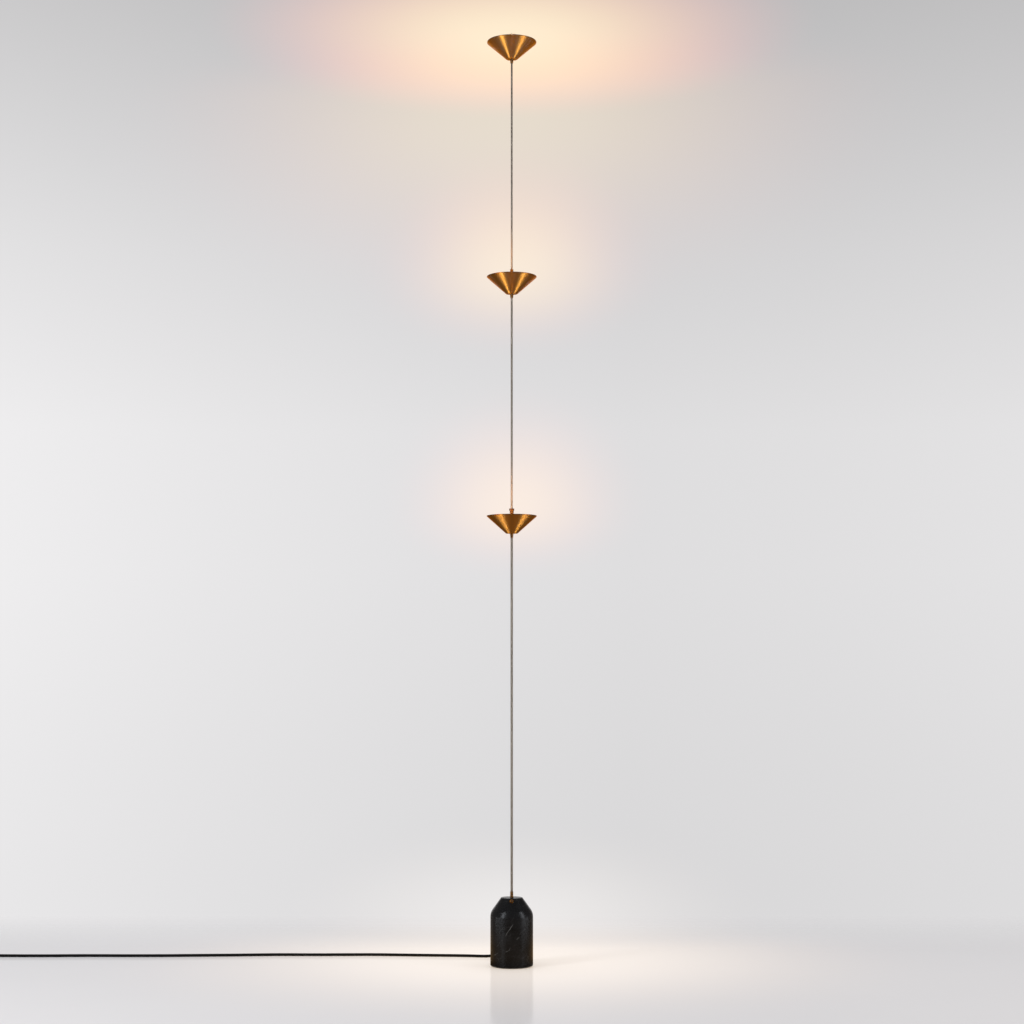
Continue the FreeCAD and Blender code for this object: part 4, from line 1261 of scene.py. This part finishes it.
WALL_COLOUR = "E4E3E4"
FLOOR_COLOUR = "DEDCDD"
CLOTH_COLOUR = "787472"
PAINTED_WARM_REFLECTION_COLOUR = "D0A262"


def turned_about(azimuth, distance, height=0.0):
    """A place round the lamp.  Azimuth 0 is the camera's side, + is to its right."""
    turn = math.radians(azimuth)
    return Vector((distance * math.sin(turn), -distance * math.cos(turn), height))


def stage_mesh(name, vertices, faces, surface, seen_by=("camera",)):
    """A part of the stage that only the named kinds of rays see."""
    mesh = bpy.data.meshes.new(name)
    mesh.from_pydata(vertices, [], faces)
    prop = bpy.data.objects.new(name, mesh)
    bpy.context.scene.collection.objects.link(prop)
    dress(prop, surface)
    for kind in ("camera", "diffuse", "glossy", "transmission", "shadow", "volume_scatter"):
        setattr(prop, f"visible_{kind}", kind in seen_by)
    return prop


def one_sided(tree, shader, added=False):
    """A shader on a face's front alone; the back is clear.  An added one lets light through."""
    clear = add(tree, "ShaderNodeBsdfTransparent")
    front = shader
    if added:
        front = add(tree, "ShaderNodeAddShader", {0: shader.outputs[0], 1: clear.outputs[0]})
    back = add(tree, "ShaderNodeNewGeometry").outputs["Backfacing"]
    return add(tree, "ShaderNodeMixShader", {0: back, 1: front.outputs[0], 2: clear.outputs[0]})


def warm_glow(tree, centre, reach, peak, fading):
    """Warm light that fades and reddens from a centre outwards.

    reach is how far it goes to each side, upwards and downwards.  peak is the red,
    green and blue light at its centre, and fading how fast each of them falls.
    """
    away = add(tree, "ShaderNodeVectorMath", {0: position(tree), 1: centre}, operation="SUBTRACT")
    parts = add(tree, "ShaderNodeSeparateXYZ", {0: away.outputs[0]})
    side, upwards, downwards = reach
    above = math_node(tree, "MAXIMUM", parts.outputs["Z"], 0.0)
    below = math_node(tree, "MINIMUM", parts.outputs["Z"], 0.0)
    level = add(tree, "ShaderNodeCombineXYZ", {
        "X": math_node(tree, "DIVIDE", parts.outputs["X"], side),
        "Y": math_node(tree, "DIVIDE", parts.outputs["Y"], side),
        "Z": math_node(tree, "ADD", math_node(tree, "DIVIDE", above, upwards),
                       math_node(tree, "DIVIDE", below, downwards))})
    squared = add(tree, "ShaderNodeVectorMath", {0: level.outputs[0], 1: level.outputs[0]},
                  operation="DOT_PRODUCT").outputs["Value"]
    share = math_node(tree, "MAXIMUM", math_node(tree, "SUBTRACT", 1.0, squared), 0.0)
    channels = [
        math_node(tree, "MULTIPLY", math_node(tree, "POWER", share, fall), most)
        for fall, most in zip(fading, peak)]
    colour = add(tree, "ShaderNodeCombineColor", dict(zip(("Red", "Green", "Blue"), channels)))
    return add(tree, "ShaderNodeEmission", {"Color": colour.outputs[0]})


def glow_material(name, *glow):
    surface, tree = new_material(name)
    surface.cycles.emission_sampling = "NONE"
    finish_with(tree, one_sided(tree, warm_glow(tree, *glow), added=True))
    return surface


class LAMP_OT_stage(bpy.types.Operator):
    """Pale floor and backdrop, soft studio lights and the camera"""

    bl_idname = "lamp.stage"
    bl_label = "Stage"

    softbox_height = 2.0
    softbox_middle = 1.9
    # Softboxes and upright boards stand this far from the lamp's axis.
    lights_distance = 3.0
    board_bottom = 0.02
    board_top = 3.0
    cloth_distance = 8.0
    board_white = (0.95, 1.0, 1.07, 1.0)
    # The materials of brass, steel and stone start with these words.
    shining_materials = ("spun_", "turned_", "rolled_", "honed_", "satin_")

    def execute(self, context):
        self.camera(context.scene)
        self.backdrop(context.scene)
        self.floor()
        self.curtain()
        self.softboxes()
        self.lamp_light()
        self.glow()
        context.scene.view_settings.view_transform = "Standard"
        return {"FINISHED"}

    def camera(self, scene):
        settings = studio()
        data = bpy.data.cameras.new("camera")
        data.sensor_width = 36
        data.lens = settings.lens
        data.clip_end = 100
        camera = bpy.data.objects.new("camera", data)
        camera.location = (settings.camera_side, -settings.camera_distance, settings.camera_height)
        camera.rotation_euler = (math.radians(90) + settings.camera_tilt, 0, 0)
        scene.collection.objects.link(camera)
        scene.camera = camera

    def backdrop(self, scene):
        """A pale room with painted light and shade: darker overhead and brighter to its sides, with soft
        light all round.
        """
        world = bpy.data.worlds.new("pale_room")
        world.use_nodes = True
        tree = world.node_tree
        tree.nodes.clear()
        direction = add(tree, "ShaderNodeTexCoord").outputs["Generated"]
        parts = add(tree, "ShaderNodeSeparateXYZ", {0: direction})
        upwards = value_between(tree, parts.outputs["Z"], 0.0, 1.0, -0.1, 0.9)
        # The stops are at -6, -2.5, 3, 7, 12, 20 and 55 degrees above the horizon.
        height = ramp(tree, upwards, (
            (0.0, 0.95), (0.056, 0.965), (0.152, 1.005), (0.222, 1.005), (0.308, 0.895),
            (0.442, 0.665), (0.92, 0.2)))
        sideways = value_between(tree, parts.outputs["X"], 0.0, 1.0, -0.25, 0.25)
        across = ramp(tree, sideways, (
            (0.0, 1.1), (0.2, 1.035), (0.4, 0.985), (0.62, 0.945), (0.8, 0.955), (1.0, 0.985)))
        tone = add(tree, "ShaderNodeVectorMath", {0: height, 1: across}, operation="MULTIPLY")
        seen = add(tree, "ShaderNodeVectorMath", {0: tone.outputs[0], 1: Vector(linear(WALL_COLOUR))},
                   operation="MULTIPLY")
        path = add(tree, "ShaderNodeLightPath")
        looks = math_node(tree, "MAXIMUM", path.outputs["Is Camera Ray"], path.outputs["Is Glossy Ray"])
        looks = math_node(tree, "MAXIMUM", looks, path.outputs["Is Transmission Ray"])
        room = add(tree, "ShaderNodeBackground", {"Color": seen.outputs[0], "Strength": 1.0})
        light = add(tree, "ShaderNodeBackground", {"Color": opaque(linear("F7F8FA")), "Strength": 0.82})
        mixed = add(tree, "ShaderNodeMixShader", {0: looks, 1: light.outputs[0], 2: room.outputs[0]})
        add(tree, "ShaderNodeOutputWorld", {"Surface": mixed.outputs[0]})
        scene.world = world

    def floor(self):
        """Pale sealed floor with a faint reflection, which fades into the backdrop."""
        behind, sides, front = 1.1, 4.5, 5.5
        corners = [(-sides, -front, 0), (sides, -front, 0), (sides, behind, 0), (-sides, behind, 0)]
        surface, tree = new_material("pale_sealed_floor")
        point = position(tree)
        cloud = value_between(tree, noise(tree, point, 700), 0.985, 1.0)
        tone = add(tree, "ShaderNodeVectorMath", {0: Vector(linear(FLOOR_COLOUR)), "Scale": cloud},
                   operation="SCALE")
        matt = add(tree, "ShaderNodeBsdfDiffuse", {"Color": tone.outputs[0]})
        gloss = add(tree, "ShaderNodeBsdfGlossy", {"Color": (0.95, 0.95, 0.95, 1), "Roughness": 0.12})
        sealed = add(tree, "ShaderNodeMixShader", {0: 0.17, 1: matt.outputs[0], 2: gloss.outputs[0]})
        # A painted pool of warm light lies round the base.
        pool = warm_glow(tree, Vector((0, 0.15, 0)), (1.3, 1.0, 1.0), (0.34, 0.27, 0.19), (3.6, 4.0, 4.5))
        sealed = add(tree, "ShaderNodeAddShader", {0: sealed.outputs[0], 1: pool.outputs[0]})
        parts = add(tree, "ShaderNodeSeparateXYZ", {0: point})
        across = value_between(tree, math_node(tree, "ABSOLUTE", parts.outputs["X"]), 0.0, 1.0, 2.6, sides)
        back = value_between(tree, parts.outputs["Y"], 0.0, 1.0, 0.35, behind)
        near = value_between(tree, parts.outputs["Y"], 1.0, 0.0, -front, -3.0)
        fade = math_node(tree, "MAXIMUM", across, math_node(tree, "MAXIMUM", back, near))
        clear = add(tree, "ShaderNodeBsdfTransparent")
        faded = add(tree, "ShaderNodeMixShader", {0: fade, 1: sealed.outputs[0], 2: clear.outputs[0]})
        finish_with(tree, faded)
        stage_mesh("floor", corners, [(0, 1, 2, 3)], surface,
                   ("camera", "diffuse", "glossy", "transmission", "shadow"))

    def curtain(self):
        """Dark cloth round the front and on the floor, painted warm and darkest close to the base: a
        painted reflection of the warm pool, and painted shade.

        Only reflections see it.
        """
        surface, tree = new_material("dark_cloth")
        surface.cycles.emission_sampling = "NONE"
        distance = add(tree, "ShaderNodeVectorMath", {0: position(tree)}, operation="LENGTH")
        # Painted warm reflection: the cloth takes the warm colour close to the base.
        colour = between(tree, distance.outputs["Value"], opaque(linear(PAINTED_WARM_REFLECTION_COLOUR)),
                         opaque(linear(CLOTH_COLOUR)), 0.2, 0.8)
        # Painted shade: the cloth is darkest close to the base.
        shadow = value_between(tree, distance.outputs["Value"], 0.15, 1.0, 0.1, 0.24)
        cloth = add(tree, "ShaderNodeEmission", {"Color": colour, "Strength": shadow})
        finish_with(tree, one_sided(tree, cloth))
        bottom, top = -4.0, 8.0
        opening = 0.06
        steps = 40
        hang = [turned_about(-150 + 300 * step / steps, self.cloth_distance)
                for step in range(steps + 1)]
        vertices = [point + Vector((0, 0, height)) for height in (bottom, top) for point in hang]
        faces = [(step, step + 1, steps + 2 + step, steps + 1 + step) for step in range(steps)]
        around = 48
        rings = [[turned_about(360 * step / around, radius, 1 * MM) for step in range(around)]
                 for radius in (opening, self.cloth_distance)]
        first = len(vertices)
        vertices += [point for ring in rings for point in ring]
        for step in range(around):
            beside = (step + 1) % around
            faces.append((first + step, first + around + step,
                          first + around + beside, first + beside))
        stage_mesh("studio_cloth", vertices, [face[::-1] for face in faces[:steps]] + faces[steps:],
                   surface, ("glossy",))

    def softboxes(self):
        settings = studio()
        self.softbox("left_softbox", -51, 0.5, settings.left_power, "FFFFFF")
        self.softbox("right_softbox", 66, 0.45, settings.right_power, "FFF6EC")
        self.reflector("left_reflector", 9.0, (1.05, -83, -72), (2.9, -63, -53))
        self.reflector("right_reflector", 8.0, (1.05, 75, 86), (2.9, 59, 68))
        self.reflector("left_near_reflector", 9.0, (1.15, -98, -84), (1.6, -92, -78))
        self.reflector("right_near_reflector", 9.0, (1.35, 86, 104), (2.0, 78, 92))
        self.upright_reflector("left_upright_reflector", 9.0, (-55, -43))
        self.upright_reflector("right_upright_reflector", 8.0, (57, 67))

    def softbox(self, name, azimuth, width, watts, hex_colour):
        """A tall softbox that faces the lamp."""
        data = bpy.data.lights.new(name, "AREA")
        data.shape = "RECTANGLE"
        data.size, data.size_y = width, self.softbox_height
        data.energy = watts
        data.color = linear(hex_colour)
        light = bpy.data.objects.new(name, data)
        light.location = turned_about(azimuth, self.lights_distance, self.softbox_middle)
        light.rotation_euler = (math.radians(90), 0, math.radians(azimuth))
        light.visible_camera = False
        light.visible_glossy = False
        bpy.context.scene.collection.objects.link(light)

    def reflector(self, name, brightness, near, far):
        """A bright white board that lies on the floor beside the lamp.

        Its near and far ends are each a distance and two azimuths.  Only reflections see
        it, from above.  It draws the bright streaks down the turned brass.
        """
        surface, tree = new_material(name)
        white = add(tree, "ShaderNodeEmission", {"Color": self.board_white, "Strength": brightness})
        finish_with(tree, one_sided(tree, white))
        corners = [turned_about(azimuth, distance, 0.01)
                   for distance, *ends in (far, near) for azimuth in ends]
        stage_mesh(name, corners, [(0, 1, 3, 2)], surface, ("glossy",))

    def upright_reflector(self, name, brightness, azimuths):
        """A bright white board that stands beyond the boards on the floor.

        Only the brass, the steel and the stone reflect it, and not the floor.
        """
        surface, tree = new_material(name)
        white = add(tree, "ShaderNodeEmission", {"Color": self.board_white, "Strength": brightness})
        finish_with(tree, one_sided(tree, white, added=True))
        corners = [turned_about(azimuth, self.lights_distance, height)
                   for height in (self.board_top, self.board_bottom) for azimuth in azimuths]
        board = stage_mesh(name, corners, [(0, 1, 3, 2)], surface, ("glossy",))
        board.light_linking.receiver_collection = self.shining_pieces()

    def shining_pieces(self):
        """The pieces of brass, steel and stone."""
        name = "shining_pieces"
        if name not in bpy.data.collections:
            shining = bpy.data.collections.new(name)
            for piece in bpy.context.scene.objects:
                if any(slot.material and slot.material.name.startswith(self.shining_materials)
                       for slot in piece.material_slots):
                    shining.objects.link(piece)
        return bpy.data.collections[name]

    def lamp_light(self):
        """The warm light that each diffuser throws upwards."""
        for head, body in HEADS.items():
            data = bpy.data.lights.new(f"light_{head}", "AREA")
            data.shape = "DISK"
            data.size = 2 * 0.8 * radius_of(f"diffuser_{head}")
            data.energy = studio().lamp_power
            data.color = colours().light
            light = bpy.data.objects.new(f"light_{head}", data)
            light.location = (0, 0, high(f"diffuser_{head}").z + 1 * MM)
            light.rotation_euler = (math.radians(180), 0, 0)
            light.visible_camera = False
            bpy.context.scene.collection.objects.link(light)
            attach(light, body)
        for head, body in (("lower", "base"), ("middle", "upper_pole")):
            self.stem_glow(f"left_glow_{head}", head, body, -50, 0.12)
            self.stem_glow(f"right_glow_{head}", head, body, 60, 0.08)

    def stem_glow(self, name, head, body, azimuth, watts):
        """Warm light from the air beside the stem, just above a shade."""
        data = bpy.data.lights.new(name, "AREA")
        data.shape = "RECTANGLE"
        data.size, data.size_y = 0.05, 0.1
        data.energy = watts
        data.color = linear("FFB468")
        light = bpy.data.objects.new(name, data)
        light.location = turned_about(azimuth, 0.1, high(f"shade_{head}").z + 0.06)
        light.rotation_euler = (math.radians(90), 0, math.radians(azimuth))
        light.visible_camera = False
        bpy.context.scene.collection.objects.link(light)
        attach(light, body)

    # Centre above the rim, reach to the side, up and down, all in metres, and the light
    # added at the centre.
    glows = {
        "lower": (0.04, (0.45, 0.42, 0.26), (0.300, 0.170, 0.020)),
        "middle": (0.04, (0.50, 0.44, 0.30), (0.305, 0.210, 0.045)),
        "upper": (-0.12, (1.30, 0.25, 0.75), (0.220, 0.145, 0.030)),
    }
    # Light off the floor on the wall behind the base.
    base_glow = ((0.85, 0.34, 0.07), (0.225, 0.21, 0.19), (2.8, 3.0, 3.2))
    glow_fading = (3.6, 5.5, 12.0)
    # Each glow's card stands at its own distance behind, so that no two lie in one plane.
    card_distances = {"lower": 0.14, "middle": 0.12, "upper": 0.1, "base": 0.35}
    # The cards turn a little to the left, so that they are clear from the lamp's right.
    card_turn = math.radians(-5)

    def glow(self):
        """The warm glow round each shade, and on the ceiling over the highest.

        Each glow is on a card that stands behind the shade and is clear from behind.
        """
        for head, body in HEADS.items():
            above, reach, peak = self.glows[head]
            centre = Vector((0, 0, high(f"shade_{head}").z + above))
            self.card(f"glow_{head}", body, self.card_distances[head], centre, reach, peak,
                      self.glow_fading)
        self.card("glow_base", "base", self.card_distances["base"], Vector((0, 0, 0.07)),
                  *self.base_glow)
        ceiling = high("ceiling_pad").z + 1 * MM
        wide = 0.85
        corners = [(-wide, -wide, ceiling), (-wide, wide, ceiling), (wide, wide, ceiling),
                   (wide, -wide, ceiling)]
        surface = glow_material("ceiling_glow", Vector((0, 0, ceiling)), (wide, 1.0, 1.0),
                                (0.47, 0.32, 0.10), (1.9, 4.0, 8.0))
        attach(stage_mesh("glow_on_ceiling", corners, [(0, 1, 2, 3)], surface), "ceiling_foot")

    def card(self, name, body, distance, centre, reach, peak, fading):
        """An upright card, at a distance behind the lamp's axis, that holds one glow."""
        side, upwards, downwards = reach
        vertices = []
        for across, lift in ((-1, -downwards), (1, -downwards), (1, upwards), (-1, upwards)):
            along = Vector((across * side, distance, lift))
            vertices.append(centre + Matrix.Rotation(self.card_turn, 3, "Z") @ along)
        surface = glow_material(f"warm_{name}", centre, reach, peak, fading)
        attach(stage_mesh(name, vertices, [(0, 1, 2, 3)], surface, ("camera", "glossy")), body)


# ---------------------------------------------------------------- panel and run

PIECE_OPERATORS = (
    LAMP_OT_stone_base,
    LAMP_OT_driver,
    LAMP_OT_stem,
    LAMP_OT_feed,
    LAMP_OT_fittings,
    LAMP_OT_height_lock,
    LAMP_OT_shades,
    LAMP_OT_light_units,
    LAMP_OT_ceiling_foot,
    LAMP_OT_mains_lead,
    LAMP_OT_stage,
)


class LAMP_PT_sidebar(bpy.types.Panel):
    """Lists the lamp's pieces and settings"""

    bl_idname = "LAMP_PT_sidebar"
    bl_label = "Pole Lamp"
    bl_space_type = "VIEW_3D"
    bl_region_type = "UI"
    bl_category = "Pole Lamp"

    def draw(self, context):
        layout = self.layout
        for group in (context.scene.lamp_sizes, context.scene.lamp_colours, context.scene.lamp_studio):
            box = layout.box()
            for name in group.bl_rna.properties.keys():
                if name not in ("rna_type", "name"):
                    box.prop(group, name)
        for operator in PIECE_OPERATORS:
            layout.operator(operator.bl_idname)


CLASSES = (LampColours, LampSizes, StudioSettings, *PIECE_OPERATORS, LAMP_PT_sidebar)


def register():
    for one in CLASSES:
        bpy.utils.register_class(one)
    bpy.types.Scene.lamp_colours = bpy.props.PointerProperty(type=LampColours)
    bpy.types.Scene.lamp_sizes = bpy.props.PointerProperty(type=LampSizes)
    bpy.types.Scene.lamp_studio = bpy.props.PointerProperty(type=StudioSettings)


def unregister():
    del bpy.types.Scene.lamp_studio
    del bpy.types.Scene.lamp_sizes
    del bpy.types.Scene.lamp_colours
    for one in reversed(CLASSES):
        bpy.utils.unregister_class(one)


def main():
    register()
    for operator in PIECE_OPERATORS:
        group, name = operator.bl_idname.split(".")
        getattr(getattr(bpy.ops, group), name)()


if __name__ == "__main__":
    main()
